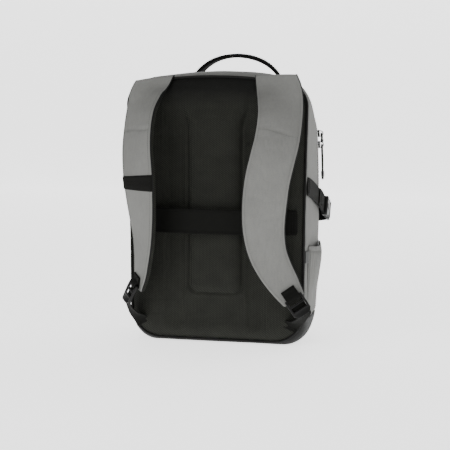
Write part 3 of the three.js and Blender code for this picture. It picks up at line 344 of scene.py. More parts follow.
# Finishes
# A socket that can be used in arithmetic: each operator adds one Math node.
class Wire:
    def __init__(self, tree, socket):
        self.tree, self.socket = tree, socket

    def maths(self, operation, *values):
        node = self.tree.nodes.new("ShaderNodeMath")
        node.operation = operation
        for i, value in enumerate(values):
            if isinstance(value, Wire):
                self.tree.links.new(value.socket, node.inputs[i])
            else:
                node.inputs[i].default_value = value
        return Wire(self.tree, node.outputs[0])

    def __add__(self, other):
        return self.maths("ADD", self, other)

    def __radd__(self, other):
        return self.maths("ADD", other, self)

    def __sub__(self, other):
        return self.maths("SUBTRACT", self, other)

    def __mul__(self, other):
        return self.maths("MULTIPLY", self, other)

    def __truediv__(self, other):
        return self.maths("DIVIDE", self, other)

    def __rsub__(self, other):
        return self.maths("SUBTRACT", other, self)

    def sine(self):
        return self.maths("SINE", self)

    def size(self):
        return self.maths("ABSOLUTE", self)

    def within(self):
        return self.maths("MINIMUM", self.maths("MAXIMUM", self, 0.0), 1.0)


# One material: a Principled shader and the nodes that feed it.
class Finish:
    def __init__(self, name, colour, roughness, **even):
        self.material = bpy.data.materials.new(name)
        self.material.use_nodes = True
        self.tree = self.material.node_tree
        self.tree.nodes.clear()
        self.out = self.tree.nodes.new("ShaderNodeOutputMaterial")
        self.shader = self.tree.nodes.new("ShaderNodeBsdfPrincipled")
        self.tree.links.new(self.shader.outputs[0], self.out.inputs[0])
        self.shader.inputs["Base Color"].default_value = (*colour, 1)
        self.shader.inputs["Roughness"].default_value = roughness
        for socket, value in even.items():
            self.shader.inputs[socket.replace("_", " ")].default_value = value
        self.material.diffuse_color = (*colour, 1)

    # Adds a node, applies its settings, then fills its sockets by name or number with values or
    # wires.
    def add(self, kind, settings=None, output=0, **sockets):
        node = self.tree.nodes.new(kind)
        for key, value in (settings or {}).items():
            if key == "stops":
                ramp = node.color_ramp.elements
                while len(ramp) < len(value):
                    ramp.new(0.5)
                for stop, (position, colour) in zip(ramp, value):
                    stop.position = position
                    stop.color = (*colour, 1)
            else:
                setattr(node, key, value)
        for key, value in sockets.items():
            socket = node.inputs[int(key[1:])] if key[0] == "i" and key[1:].isdigit() else node.inputs[key]
            if isinstance(value, Wire):
                self.tree.links.new(value.socket, socket)
            else:
                socket.default_value = value
        return Wire(self.tree, node.outputs[output])

    def place(self, along="Object"):
        if along == "cloth":
            return self.add("ShaderNodeUVMap", {"uv_map": "cloth"})
        return self.add("ShaderNodeTexCoord", output=3)

    def axes(self, place):
        node = self.tree.nodes.new("ShaderNodeSeparateXYZ")
        self.tree.links.new(place.socket, node.inputs[0])
        return [Wire(self.tree, node.outputs[k]) for k in range(3)]

    def speckle(self, place, scale, detail=2.0, roughness=0.5, stretch=(1, 1, 1)):
        moved = self.add("ShaderNodeMapping", i0=place, i3=stretch)
        return self.add("ShaderNodeTexNoise", Vector=moved, Scale=scale, Detail=detail, Roughness=roughness)

    # Mix of two colours by a wire from 0 to 1.
    def blendColours(self, share, low, high):
        return self.add("ShaderNodeMix", {"data_type": "RGBA"}, output=2,
                        i0=share, i6=(*low, 1), i7=(*high, 1))

    def tint(self, colour):
        self.tree.links.new(colour.socket, self.shader.inputs["Base Color"])

    def rough(self, wire):
        self.tree.links.new(wire.socket, self.shader.inputs["Roughness"])

    def bump(self, height, distance, strength=1.0):
        node = self.tree.nodes.new("ShaderNodeBump")
        node.inputs["Strength"].default_value = strength
        node.inputs["Distance"].default_value = distance
        self.tree.links.new(height.socket, node.inputs["Height"])
        self.tree.links.new(node.outputs[0], self.shader.inputs["Normal"])


def shade(colour, by):
    return tuple(min(c * by, 1) for c in colour)


greyCloth = {"colour": (0.15, 0.151, 0.143), "roughness": 0.82, "yarn": 0.0011}
meshCloth = {
    "colour": (0.0068, 0.0072, 0.0056), "pitch": 0.0029, "lean": 35, "shadeFrom": 0.402, "shadeFull": 0.432,
}
webCloth = {"low": (0.0028, 0.0029, 0.0025), "high": (0.0085, 0.0087, 0.0075), "rib": 0.0016}
plastic = {"colour": (0.0045, 0.0045, 0.0042), "roughness": 0.36}


# Plain weave, the product of a sine in each yarn direction, with fine specks, a broad mottle and
# slubs drawn out along one axis.
def makeGreyCloth():
    f = Finish("greyWovenCloth", greyCloth["colour"], greyCloth["roughness"],
               Specular_IOR_Level=0.25)
    u, v, _ = f.axes(f.place("cloth"))
    turn = 2 * math.pi / greyCloth["yarn"]
    weave = (u * turn).sine() * (v * turn).sine()
    solid = f.place()
    mottle = f.speckle(solid, 900, 1.0)
    broad = f.speckle(solid, 14, 3.0)
    slub = f.speckle(solid, 260, 2.0, stretch=(1, 1, 0.25))
    share = (0.5 + (mottle - 0.5) * 0.8 + (broad - 0.5) * 0.5 + (slub - 0.5) * 0.5 + weave * 0.1).within()
    f.tint(f.blendColours(share, shade(greyCloth["colour"], 0.8), shade(greyCloth["colour"], 1.2)))
    f.rough((0.76 + mottle * 0.14).within())
    f.bump(weave * 0.6 + mottle * 0.8, 0.00012, 0.7)
    return f.material


# Spacer mesh: raised dots where two sets of slanting rows cross, one set stronger. Above shadeFrom
# the dots fade out and the colour is drawn to its dark low end: painted shade over the top of the panel and
# the tops of the strap foam, under the straps.
def makeMeshCloth():
    k = meshCloth
    f = Finish("blackSpacerMesh", k["colour"], 0.85, Specular_IOR_Level=0.18)
    x, y, z = f.axes(f.place())
    turn = 2 * math.pi / k["pitch"]
    lean = math.radians(k["lean"])
    flat = (x + y * 0.7) * (turn * math.sin(lean))
    up = z * (turn * math.cos(lean))
    rows = (up + flat).sine()
    crossing = (up - flat).sine()
    fine = f.speckle(f.place(), 420, 2.0)
    broad = f.speckle(f.place(), 40, 2.0)
    dots = 0.42 + rows * 0.3 + rows * crossing * 0.28 + (fine - 0.5) * 0.5 + (broad - 0.5) * 0.3
    # painted shade: above this height the colour is pulled towards the dark low end
    topShade = ((z - k["shadeFrom"]) / (k["shadeFull"] - k["shadeFrom"])).within()
    share = (dots * (1 - topShade * 0.85)).within()
    f.tint(f.blendColours(share, shade(k["colour"], 0.15), shade(k["colour"], 3.9)))
    f.rough((0.72 + fine * 0.2).within())
    f.bump(rows * crossing * 0.5 + rows * 0.5, 0.0005, 0.55)
    return f.material


# Tight coated cloth: fine grain and scuffs along it.
def makeDarkCloth():
    f = Finish("blackCoatedCloth", (0.006, 0.0062, 0.0056), 0.62, Specular_IOR_Level=0.15)
    u, v, _ = f.axes(f.place("cloth"))
    turn = 2 * math.pi / 0.0013
    weave = (u * turn).sine() * (v * turn).sine()
    fine = f.speckle(f.place(), 700, 2.0)
    share = (fine * 0.8 + weave * 0.1).within()
    f.tint(f.blendColours(share, (0.0032, 0.0033, 0.003), (0.0088, 0.009, 0.0082)))
    f.rough((0.5 + fine * 0.28).within())
    f.bump(weave * 0.5 + fine, 0.00015, 0.6)
    return f.material


# Woven webbing: ribs across its length, each waved along itself by the sine of the place across.
# An elastic band has its ribs lengthwise.
def makeWebCloth(name, lengthwise):
    f = Finish(name, webCloth["high"], 0.8, Specular_IOR_Level=0.08)
    u, v, _ = f.axes(f.place("cloth"))
    u, v = (v, u) if lengthwise else (u, v)
    turn = 2 * math.pi / webCloth["rib"]
    ribs = (v * turn + (u * (turn * 0.5)).sine() * 0.9).sine()
    fine = f.speckle(f.place(), 1200, 1.0)
    share = (0.45 + ribs * 0.3 + (fine - 0.5) * 0.5).within()
    f.tint(f.blendColours(share, webCloth["low"], webCloth["high"]))
    f.rough((0.7 + fine * 0.2).within())
    f.bump(ribs * 0.5 + fine * 0.3, 0.00022, 0.7)
    return f.material


# Moulded plastic: fine spark texture with a soft gloss.
def makePlastic():
    f = Finish("blackMouldedPlastic", plastic["colour"], plastic["roughness"], Specular_IOR_Level=0.2)
    fine = f.speckle(f.place(), 1400, 1.0)
    broad = f.speckle(f.place(), 60, 2.0)
    f.tint(f.blendColours(broad, shade(plastic["colour"], 0.8), shade(plastic["colour"], 1.4)))
    f.rough((0.28 + fine * 0.12 + broad * 0.08).within())
    f.bump(fine, 0.00005, 0.5)
    return f.material


# Coated zip tape: smooth, with fine cross ribs.
def makeZipTape():
    f = Finish("blackZipTape", (0.0045, 0.0045, 0.0042), 0.5, Specular_IOR_Level=0.3)
    u, _, _ = f.axes(f.place("cloth"))
    ribs = (u * (2 * math.pi / 0.0009)).sine()
    fine = f.speckle(f.place(), 900, 1.0)
    f.tint(f.blendColours(fine, (0.003, 0.003, 0.0028), (0.0065, 0.0065, 0.006)))
    f.rough((0.42 + fine * 0.2).within())
    f.bump(ribs * 0.4 + fine * 0.3, 0.0001, 0.5)
    return f.material


# Braided cord: two sets of strands that wind round it in opposite directions.
def makeCord():
    f = Finish("blackBraidedCord", (0.004, 0.004, 0.0038), 0.6, Specular_IOR_Level=0.3)
    u, v, _ = f.axes(f.place("cloth"))
    a = (v * 3400 + u * 1700).sine()
    b = (v * 3400 - u * 1700).sine()
    braid = (a * b).size()
    f.tint(f.blendColours(braid, (0.002, 0.002, 0.002), (0.0075, 0.0075, 0.007)))
    f.bump(braid, 0.00018, 0.7)
    return f.material


# Sewing thread: one colour with fine specks.
def makeThread(name, colour):
    f = Finish(name, colour, 0.75, Specular_IOR_Level=0.1)
    fine = f.speckle(f.place(), 2600, 1.0)
    f.tint(f.blendColours(fine, shade(colour, 0.75), shade(colour, 1.25)))
    return f.material


# Tag cloth: fine ribs and specks in dark grey.
def makeTag():
    f = Finish("darkGreyTag", (0.035, 0.036, 0.035), 0.6, Specular_IOR_Level=0.3)
    _, v, _ = f.axes(f.place("cloth"))
    ribs = (v * (2 * math.pi / 0.0008)).sine()
    fine = f.speckle(f.place(), 800, 1.0)
    f.tint(f.blendColours(fine, (0.028, 0.029, 0.028), (0.042, 0.043, 0.041)))
    f.bump(ribs * 0.5 + fine * 0.3, 0.0001, 0.6)
    return f.material


greyFinish = makeGreyCloth()
meshFinish = makeMeshCloth()
darkFinish = makeDarkCloth()
webFinish = makeWebCloth("blackRibbedWebbing", False)
bandFinish = makeWebCloth("blackElasticBand", True)
plasticFinish = makePlastic()
tapeFinish = makeZipTape()
cordFinish = makeCord()
tagFinish = makeTag()
greyThread = makeThread("greyThread", (0.12, 0.121, 0.114))
darkThread = makeThread("blackThread", (0.0055, 0.0055, 0.005))
print("finishes ready")


# Stitches
stitch = {"length": 2.6, "step": 3.7, "radius": 0.33}
capsuleFaces = [[0, 1, 5, 4], [1, 2, 6, 5], [2, 3, 7, 6], [3, 0, 4, 7],
                [4, 5, 9, 8], [5, 6, 10, 9], [6, 7, 11, 10], [7, 4, 8, 11], [3, 2, 1, 0], [8, 9, 10, 11]]


# Points at even steps along a polyline, with the direction there.
def alongPath(path, step):
    run = np.r_[0, np.cumsum(np.linalg.norm(np.diff(path, axis=0), axis=1))]
    at = np.arange(step / 2, run[-1], step)
    points = np.stack([np.interp(at, run, path[:, k]) for k in range(3)], -1)
    ahead = np.stack([np.interp(at + 0.5, run, path[:, k]) for k in range(3)], -1)
    behind = np.stack([np.interp(at - 0.5, run, path[:, k]) for k in range(3)], -1)
    return points, unit(ahead - behind)


# Short capsules laid end to end on a seam line, each bowed slightly up from the cloth.
def addStitches(shape, path, normals, lift=0.25):
    points, along = alongPath(path, stitch["step"])
    run = np.r_[0, np.cumsum(np.linalg.norm(np.diff(path, axis=0), axis=1))]
    at = np.arange(stitch["step"] / 2, run[-1], stitch["step"])
    out = unit(np.stack([np.interp(at, run, normals[:, k]) for k in range(3)], -1))
    out = unit(out - along * np.sum(out * along, -1, keepdims=True))
    side = np.cross(along, out)
    half, r = stitch["length"] / 2, stitch["radius"]
    rings = [(-half, 0.4, -0.3), (0.0, 1.0, 0.25), (half, 0.4, -0.3)]
    corners = []
    for offset, share, rise in rings:
        for turn in (0.25, 0.75, 1.25, 1.75):
            corners.append(points + along * offset + out * (lift + rise * r)
                           + side * (r * share * 1.2 * math.cos(turn * math.pi))
                           + out * (r * share * math.sin(turn * math.pi)))
    shape.copies(np.stack(corners, 1), capsuleFaces)


# Cloth shell
roundSteps = np.concatenate([
    np.linspace(0, 0.12, 12, endpoint=False), np.linspace(0.12, 0.29, 22, endpoint=False),
    np.linspace(0.29, 0.69, 56, endpoint=False), np.linspace(0.69, 0.86, 26, endpoint=False),
    np.linspace(0.86, 1, 20, endpoint=False)])
wholeRound = np.unique(np.round(np.concatenate([roundSteps, [1.0], 2 - roundSteps[1:]]), 6))


# The lowest height that the grey cloth reaches, inside the base
clothFoot = 2.0


# How far the grey cloth draws in where the base panel covers it.
def tuck(z):
    return 3.2 * (1 - smooth(z, bag["baseHeight"] - 2, bag["baseHeight"] + 2))


rearEdge, gussetLimit = bag["rearEdge"], bag["zipFront"]
gussetRows = np.r_[rearEdge, 3.4, 4.6, 6.5, np.linspace(9, 112, 40), 114.5, 116.3, 117.4, gussetLimit]
# above the zip's ends the cloth stops at the tape: depths shrink towards the rear edge
zipRearEdge = 14.6  # from the front edge of the gusset back to the rear edge of the tape
besideTape = smooth(bodyPoint(wholeRound, bag["zipMiddle"])[:, 2], 234, 246)
gussetEdge = gussetLimit - zipRearEdge * besideTape
gussetShare = (gussetRows[:, None] - rearEdge) / (gussetLimit - rearEdge)
gussetDepths = rearEdge + gussetShare * (gussetEdge[None] - rearEdge)
gussetGrid = relax(bodyPoint(wholeRound[None], gussetDepths), 3)
gussetNormals = outwardNormals(gussetGrid, vec(0, 60, 230), True)
seamAway = np.minimum(gussetDepths - rearEdge, gussetEdge[None] - gussetDepths)
baseAway = np.abs(gussetGrid[..., 2] - bag["baseHeight"])
gussetGrid = cloth(gussetGrid, gussetNormals, np.minimum(seamAway, baseAway + 4), seed=3)
gussetGrid -= gussetNormals * tuck(gussetGrid[..., 2])[..., None]
gussetGrid[..., 2] = np.maximum(gussetGrid[..., 2], clothFoot)
gusset = Shape().grid(gussetGrid, wrapColumns=True, awayFrom=vec(0, 60, 230)).build(
    "gussetCloth", greyFinish, "grey_cloth", ["gusset"], thickness=bag["wall"], subdivide=1)
declareCloth(gusset, gussetGrid, True)
print("gusset", gussetGrid.shape)

frontRows = np.r_[bag["zipFront"], 118.7, 119.8, 121.6, np.linspace(124, 171, 20), 173.6, bag["depth"]]
faceShares = np.array([0.985, 0.95, 0.9, 0.83, 0.75, 0.66, 0.56, 0.45, 0.34, 0.22, 0.11])
frontGrid = relax(bodyPoint(wholeRound[None], frontRows[:, None]), 3)
faceMiddle = vec(0, bag["depth"], bag["height"] / 2)
faceRings = faceMiddle + (frontGrid[-1] - faceMiddle)[None] * faceShares[:, None, None]
faceRings[..., 1] = bag["depth"] + 0.8 * (1 - faceShares[:, None] ** 3)
frontGrid = np.concatenate([frontGrid, faceRings])
# the edge between side and face is eased by averaging down the rows
for _ in range(4):
    frontGrid[20:-1] = frontGrid[20:-1] / 2 + (frontGrid[19:-2] + frontGrid[21:]) / 4
frontNormals = outwardNormals(frontGrid, vec(0, 100, 230), True)
frontAway = np.abs(frontGrid[..., 1] - bag["zipFront"])
frontBase = np.abs(frontGrid[..., 2] - bag["baseHeight"])
frontGrid = cloth(frontGrid, frontNormals, np.minimum(frontAway, frontBase + 4), seed=8, deep=0.9)
frontGrid -= frontNormals * tuck(frontGrid[..., 2])[..., None]
frontGrid[..., 2] = np.maximum(frontGrid[..., 2], clothFoot)
frontShape = Shape().grid(frontGrid, wrapColumns=True, awayFrom=vec(0, 100, 230))
lastRing = frontGrid[-1]
capGrid = np.stack([lastRing, np.repeat(lastRing.mean(axis=0)[None], len(lastRing), 0)
                    + 0.02 * (lastRing - lastRing.mean(axis=0))])
frontShape.grid(capGrid, wrapColumns=True, awayFrom=vec(0, 100, 230))
frontShell = frontShape.build(
    "frontCloth", greyFinish, "grey_cloth", ["front_shell"], thickness=bag["wall"], subdivide=1)
declareCloth(frontShell, frontGrid, True)
print("front shell", frontGrid.shape)


# Base: the body's surface below baseHeight, pushed out by half a millimetre. Each row is the lower
# outline at one depth, cut evenly by its own length, and the last rows close the front.
def makeBase():
    depths = np.r_[bag["rearEdge"], 4, 7, np.linspace(11, 168, 36), 172, bag["depth"]]
    right = []
    # the lower outline from the middle to baseHeight, at each depth, evenly by its own length
    for depth in depths:
        u = np.linspace(0, 0.5, 400)
        line = bodyPoint(u, np.full_like(u, depth), -0.5)
        line = line[line[:, 2] <= bag["baseHeight"]]
        run = np.r_[0, np.cumsum(np.linalg.norm(np.diff(line, axis=0), axis=1))]
        at = np.linspace(0, run[-1], 40)
        right.append(np.stack([np.interp(at, run, line[:, k]) for k in range(3)], -1))
    right = np.array(right)
    left = right[:, :0:-1] * vec(-1, 1, 1)
    grid = np.concatenate([left, right], axis=1)
    # closing rings on the front, up to baseHeight
    last = grid[-1]
    foot = last[:, 2]
    rings = []
    for share in (0.06, 0.2, 0.4, 0.6, 0.8, 1.0):
        ring = last.copy()
        ring[:, 1] = bag["depth"] + 0.9
        ring[:, 2] = foot + (bag["baseHeight"] - foot) * share
        rings.append(ring)
    grid = np.concatenate([grid, np.array(rings)])
    for _ in range(3):
        grid[34:-1] = grid[34:-1] / 2 + (grid[33:-2] + grid[35:]) / 4
    normals = outwardNormals(grid, vec(0, 80, 230))
    rearAway, edgeAway = grid[..., 1] - bag["rearEdge"], bag["baseHeight"] - grid[..., 2] + 3
    grid = cloth(grid, normals, np.minimum(rearAway, edgeAway), 12, 0.5)
    grid[..., 2] = np.maximum(grid[..., 2], 0.0)
    return grid


baseGrid = makeBase()
baseShell = Shape().grid(baseGrid, awayFrom=vec(0, 80, 230)).build(
    "baseCloth", darkFinish, "black_cloth", ["base_panel"], thickness=bag["wall"], subdivide=1)
declareCloth(baseShell, baseGrid)
print("base", baseGrid.shape)


# Back panel: foam pads down both sides, a raised column in the middle and channels between them
backPad = {
    "inset": 3.5, "rise": 10, "edge": 27, "columnHalf": 46.5, "columnLow": 88, "columnTop": 404,
    "columnCorner": 17, "flare": 13, "flareStart": 358, "columnRise": 5.0, "padEdge": 87,
    "channel": 4.4, "columns": 181, "rows": 241,
}


# Distance in from the outline: the least of the distances to the side, top arch and bottom, or the
# corner's radius less the distance to its centre.
def outlineDistance(x, z, section):
    half, top, low, topRadius, lowRadius, archEnd, _, corner, _ = section
    ax = np.abs(x)
    roof = top - bag["topArch"] * np.minimum(ax / archEnd, 1) ** 2
    near = np.minimum(np.minimum(half - ax, z - low), roof - z)
    lowCorner = lowRadius - np.hypot(ax - half + lowRadius, z - low - lowRadius)
    topCorner = topRadius - np.hypot(ax - half + topRadius, z - corner)
    near = np.where((ax > half - lowRadius) & (z < low + lowRadius), lowCorner, near)
    return np.where((ax > archEnd) & (z > corner), np.minimum(topCorner, near), near)


# Signed distance to the column's outline: negative inside a rectangle with round lower corners
# whose sides flare out as the square of the height above flareStart.
def columnDistance(x, z):
    b = backPad
    flare = np.clip((z - b["flareStart"]) / (b["columnTop"] - b["flareStart"]), 0, 1.3)
    dx = np.abs(x) - b["columnHalf"] - b["flare"] * flare ** 2 + b["columnCorner"]
    dz = b["columnLow"] + b["columnCorner"] - z
    outside = np.hypot(np.maximum(dx, 0), np.maximum(dz, 0))
    return outside + np.minimum(np.maximum(dx, dz), 0) - b["columnCorner"]


# How far the pad stands towards the wearer: the rise times one less the 2.4th power of the share
# still left to the pad's full height, less the channels, plus the column, which rises the same
# way, with bell curves as grooves where each form is stitched down.
def padRise(x, z):
    b = backPad
    section = bodySection(0, b["inset"])
    bow = section[-1]
    away = outlineDistance(x / widthShare(z, bow), z, section)
    rise = b["rise"] * (1 - (1 - np.clip(away / b["edge"], 0, 1)) ** 2.4)
    rise = rise * (0.93 + 0.07 * smooth(away, 20, 90))
    ax = np.abs(x)
    channel = smooth(ax, 48, 60) * (1 - smooth(ax, b["padEdge"] - 7, b["padEdge"] + 3))
    channel = channel * smooth(away, 8, 34) * (1 - 0.75 * smooth(z, 330, 430))
    under = (1 - smooth(ax, 50, 84)) * (1 - smooth(z, b["columnLow"] - 12, b["columnLow"] + 4))
    low = b["channel"] * np.maximum(channel, under * 0.55 * smooth(z, 8, 60))
    column = columnDistance(x, z)
    ends = 1 - smooth(z, b["columnTop"] - 26, b["columnTop"] + 4)
    raised = b["columnRise"] * (1 - (1 - np.clip(-column / 20, 0, 1)) ** 2.4) * ends
    groove = 2.9 * ridge(column - 0.4, 2.3) * ends + 1.2 * ridge(column - 2, 7) * ends
    seam = 1.6 * ridge(ax - b["padEdge"] - 1, 2.0) * smooth(away, 10, 24) * (1 - smooth(z, 380, 430))
    points = np.stack([x, 0 * x, z], -1)
    uneven = 0.7 * noise(points, 62, 21) + 0.35 * noise(points, 25, 22)
    wrinkle = -0.5 * ridge(noise(points * vec(0.5, 1, 1.3), 40, 23), 0.07) * smooth(away, 5, 20)
    return rise - low + raised - groove - seam + (uneven + wrinkle) * smooth(away, 0, 18)


# Face on a grid from the floor of the outline to its roof, its columns closer together near the
# sides and its rows near both ends, with a rim back to the seam and a flat back.
def makeBackPanel():
    b = backPad
    half, top, low, topRadius, lowRadius, archEnd, _, corner, bow = bodySection(0, b["inset"])
    even = np.linspace(-1, 1, b["columns"])
    across = 0.55 * even + 0.45 * np.sin(even * math.pi / 2)
    up = np.linspace(0, 1, b["rows"])
    up = 0.6 * up + 0.4 * (0.5 - 0.5 * np.cos(up * math.pi))
    x0 = half * across
    ax = np.abs(x0)
    lowAcross, topAcross = (np.maximum(ax - half + radius, 0) for radius in (lowRadius, topRadius))
    floor = low + lowRadius - np.sqrt(np.maximum(lowRadius ** 2 - lowAcross ** 2, 0))
    arc = corner + np.sqrt(np.maximum(topRadius ** 2 - topAcross ** 2, 0))
    roof = np.where(ax < archEnd, top - bag["topArch"] * (ax / archEnd) ** 2, arc)
    z = floor[None] + (roof - floor)[None] * up[:, None]
    x = x0[None] * widthShare(z, bow)
    front = np.stack([x, -padRise(x, z), z], -1)
    back = front.copy()
    back[..., 1] = 2.6
    shape = Shape().grid(front, awayFrom=vec(0, 300, 230))
    # the rim runs from the face's border back to the seam
    border = np.concatenate([front[0], front[1:, -1], front[-1, -2::-1], front[-2:0:-1, 0]])
    rim = np.stack([border, border * vec(1, 0, 1) + vec(0, 2.6, 0)])
    shape.grid(rim, wrapColumns=True, awayFrom=vec(0, 0, 230))
    shape.grid(back[::12, ::12], awayFrom=vec(0, -300, 230))
    piece = shape.build("backPanelMesh", meshFinish, "black_mesh", ["back_panel"])
    return piece


makeBackPanel()
print("back panel")


# A closed section carried along a path: section holds pairs across and out, in millimetres.
def sweep(path, across, out, section, scales=None):
    scales = np.ones(len(path)) if scales is None else scales
    a = section[:, 0][None, :, None] * scales[:, None, None]
    f = section[:, 1][None, :, None]
    return path[:, None] + across[:, None] * a + out[:, None] * f


# Round section: cosine and sine of even turns, times two radii.
def roundSection(acrossRadius, outRadius=None, count=12, power=1.0):
    turn = (np.arange(count) + 0.5) * 2 * math.pi / count
    c, s = np.cos(turn), np.sin(turn)
    return np.stack([acrossRadius * np.sign(c) * np.abs(c) ** power,
                     (outRadius or acrossRadius) * np.sign(s) * np.abs(s) ** power], -1)


# Points at even distances along a smooth curve through a few chosen ones: between two points, a
# cubic whose slope at each is half the chord of its two neighbours.
def curveThrough(points, step=2.0, closed=False):
    points = np.asarray(points, float)
    if closed:
        padded = np.concatenate([points[-1:], points, points[:2]])
    else:
        padded = np.concatenate([2 * points[:1] - points[1:2], points, 2 * points[-1:] - points[-2:-1]])
    t = np.linspace(0, 1, 24, endpoint=False)[None, :, None]
    a, b, c, d = (padded[k:len(padded) - 3 + k, None] for k in range(4))
    square, cube = 2 * a - 5 * b + 4 * c - d, 3 * b - a - 3 * c + d
    line = 0.5 * (2 * b + (c - a) * t + square * t ** 2 + cube * t ** 3)
    line = line.reshape(-1, 3)
    if not closed:
        line = np.concatenate([line, points[-1:]])
    run = np.r_[0, np.cumsum(np.linalg.norm(np.diff(line, axis=0), axis=1))]
    at = np.linspace(0, run[-1], max(int(run[-1] / step), 4) + 1)
    return np.stack([np.interp(at, run, line[:, k]) for k in range(3)], -1)


# Direction of a path at each point, the direction across it and, square to both, the one nearest
# to a hint.
def pathFrames(path, hint):
    along = unit(np.gradient(path, axis=0))
    hint = np.broadcast_to(np.asarray(hint, float), path.shape)
    out = unit(hint - along * np.sum(hint * along, -1, keepdims=True))
    return along, np.cross(along, out), out


# Round cord along a path, its frame kept nearest to a hint direction.
def addCord(shape, path, radius, hint=(0, 0, 1), count=10):
    _, across, out = pathFrames(path, hint)
    return shape.loft(sweep(path, across, out, roundSection(radius, count=count)))


# Section of webbing: flat, a little crowned, with rounded selvedges.
def webSection(width, wall):
    half, h = width / 2, wall / 2
    edge = np.array([[half - 0.3, -h], [half, -h * 0.4], [half, h * 0.4], [half - 0.3, h]])
    inner = np.array([0.85, 0.5, 0.0, -0.5, -0.85]) * half
    upper = np.stack([inner, np.full(5, h * 0.86)], -1)
    return np.concatenate([edge, upper, -edge, -upper])


# Bound seam round the back panel: a cord in folded cloth
piping = {"radius": 2.2, "inset": 1.0}


# Round section carried round the body's outline at the rear seam, swollen and sunk by noise.
def makePiping():
    path = relax(bodyPoint(wholeRound, 0.0, piping["inset"])[None], 3)[0]
    along = unit(np.roll(path, -1, 0) - np.roll(path, 1, 0))
    out = np.broadcast_to(vec(0, -1, 0), path.shape)
    across = np.cross(along, out)
    section = roundSection(piping["radius"], count=12)
    grid = sweep(path, across, out, section)
    swell = 0.22 * noise(path, 8, 41) + 0.15 * noise(path, 26, 42)
    grid = grid + unit(grid - path[:, None]) * swell[:, None, None]
    shape = Shape().grid(grid, wrapColumns=True, wrapRows=True, awayFrom=path[:-1, None])
    return shape.build("seamPiping", darkFinish, "black_cloth", ["back_piping"], subdivide=1)


makePiping()


# Shoulder straps: down the drop, out, off the panel, turn and tilt in degrees, width and thickness
strap = {
    "top": 455, "tip": 90, "width": 72, "standoff": 70, "pad": 8.5, "crown": 1.6,
    "rows": 96, "seamDown": 0.245, "loopHeight": 277, "loopWidth": 25,
}
strapTables = {
    "left": np.array([
        [0.017, 0.682, 0.166, 2, 33, 0.86, 0.2], [0.06, 0.726, 0.272, 9, 26, 0.87, 0.5],
        [0.107, 0.76, 0.45, 22, 14, 0.895, 0.9], [0.182, 0.79, 0.68, 31, 0, 0.965, 1],
        [0.315, 0.792, 0.91, 33, 0, 1, 1], [0.461, 0.766, 1, 32, 0, 1, 1],
        [0.56, 0.753, 0.98, 35, 0, 0.99, 1], [0.66, 0.747, 0.91, 39, 0, 0.95, 1],
        [0.76, 0.753, 0.8, 44, 0, 0.86, 1], [0.848, 0.779, 0.69, 47, 0, 0.75, 0.95],
        [0.915, 0.81, 0.58, 49, 0, 0.66, 0.85], [0.98, 0.84, 0.5, 54, 0, 0.5, 0.6]]),
    "right": np.array([
        [0, 0.676, 0.135, 0, 19, 0.98, 0.2], [0.05, 0.72, 0.255, 5, 16, 1.04, 0.5],
        [0.107, 0.76, 0.45, 14, 8, 1.02, 0.9], [0.182, 0.785, 0.68, 19, 0, 1, 1],
        [0.28, 0.773, 0.87, 15, 0, 1, 1], [0.363, 0.734, 0.97, 13, 0, 1, 1],
        [0.46, 0.682, 1, 13, 0, 1, 1], [0.56, 0.649, 0.97, 14, 0, 0.99, 1],
        [0.66, 0.63, 0.89, 18, 0, 0.95, 1], [0.74, 0.636, 0.8, 18, 0, 0.9, 1],
        [0.81, 0.668, 0.72, 16, 0, 0.84, 1], [0.875, 0.732, 0.64, 17, 0, 0.78, 0.95],
        [0.94, 0.82, 0.57, 20, 0, 0.7, 0.85], [1.01, 0.925, 0.51, 24, 0, 0.55, 0.6]]),
}


strapDrop = strap["top"] - strap["tip"]


# The strap's centre line and, at each point of it, the directions of its width and its face.
def strapFrames(side, downs):
    table = strapTables[side]
    sign = -1 if side == "left" else 1
    first, last = table[[0, -1], 0]

    def pointAt(down):
        return np.stack([sign * bag["halfWidth"] * tableCurve(table, 1, down),
                         -strap["standoff"] * tableCurve(table, 2, down),
                         strap["top"] - strapDrop * down], -1)

    along = unit(pointAt(np.minimum(downs + 0.01, last)) - pointAt(np.maximum(downs - 0.01, first)))
    turn = np.radians(tableCurve(table, 3, downs))
    face = np.stack([sign * np.sin(turn), -np.cos(turn), 0 * turn], -1)
    face = unit(face - along * np.sum(face * along, -1, keepdims=True))
    across = unit(np.cross(face, along))
    tilt = (-sign * np.radians(tableCurve(table, 4, downs)))[:, None]
    across = across * np.cos(tilt) + np.cross(face, across) * np.sin(tilt)
    half = strap["width"] / 2 * tableCurve(table, 5, downs)
    pad = strap["pad"] * tableCurve(table, 6, downs)
    return {"point": pointAt(downs), "along": along, "face": face, "across": across, "half": half, "pad": pad}


# Rows that carry a strap's section up and over into the bag's top seam: a smooth curve from the
# strap's first row to the seam, bulging towards the wearer.
def topTuck(rows, sink):
    first, second = rows[0], rows[3]
    target = first.copy()
    target[:, 1] = 1.2 + sink
    target[:, 2] = topAt(0.0, first[:, 0]) + 0.4 - sink
    leave = (first - second) * 1.3
    arrive = vec(0, 5, 3)
    t = np.linspace(0, 1, 9)[:-1, None, None]
    h00, h10 = 2 * t ** 3 - 3 * t ** 2 + 1, t ** 3 - 2 * t ** 2 + t
    h01, h11 = 3 * t ** 2 - 2 * t ** 3, t ** 3 - t ** 2
    return h00 * target - h10 * arrive + h01 * first - h11 * leave


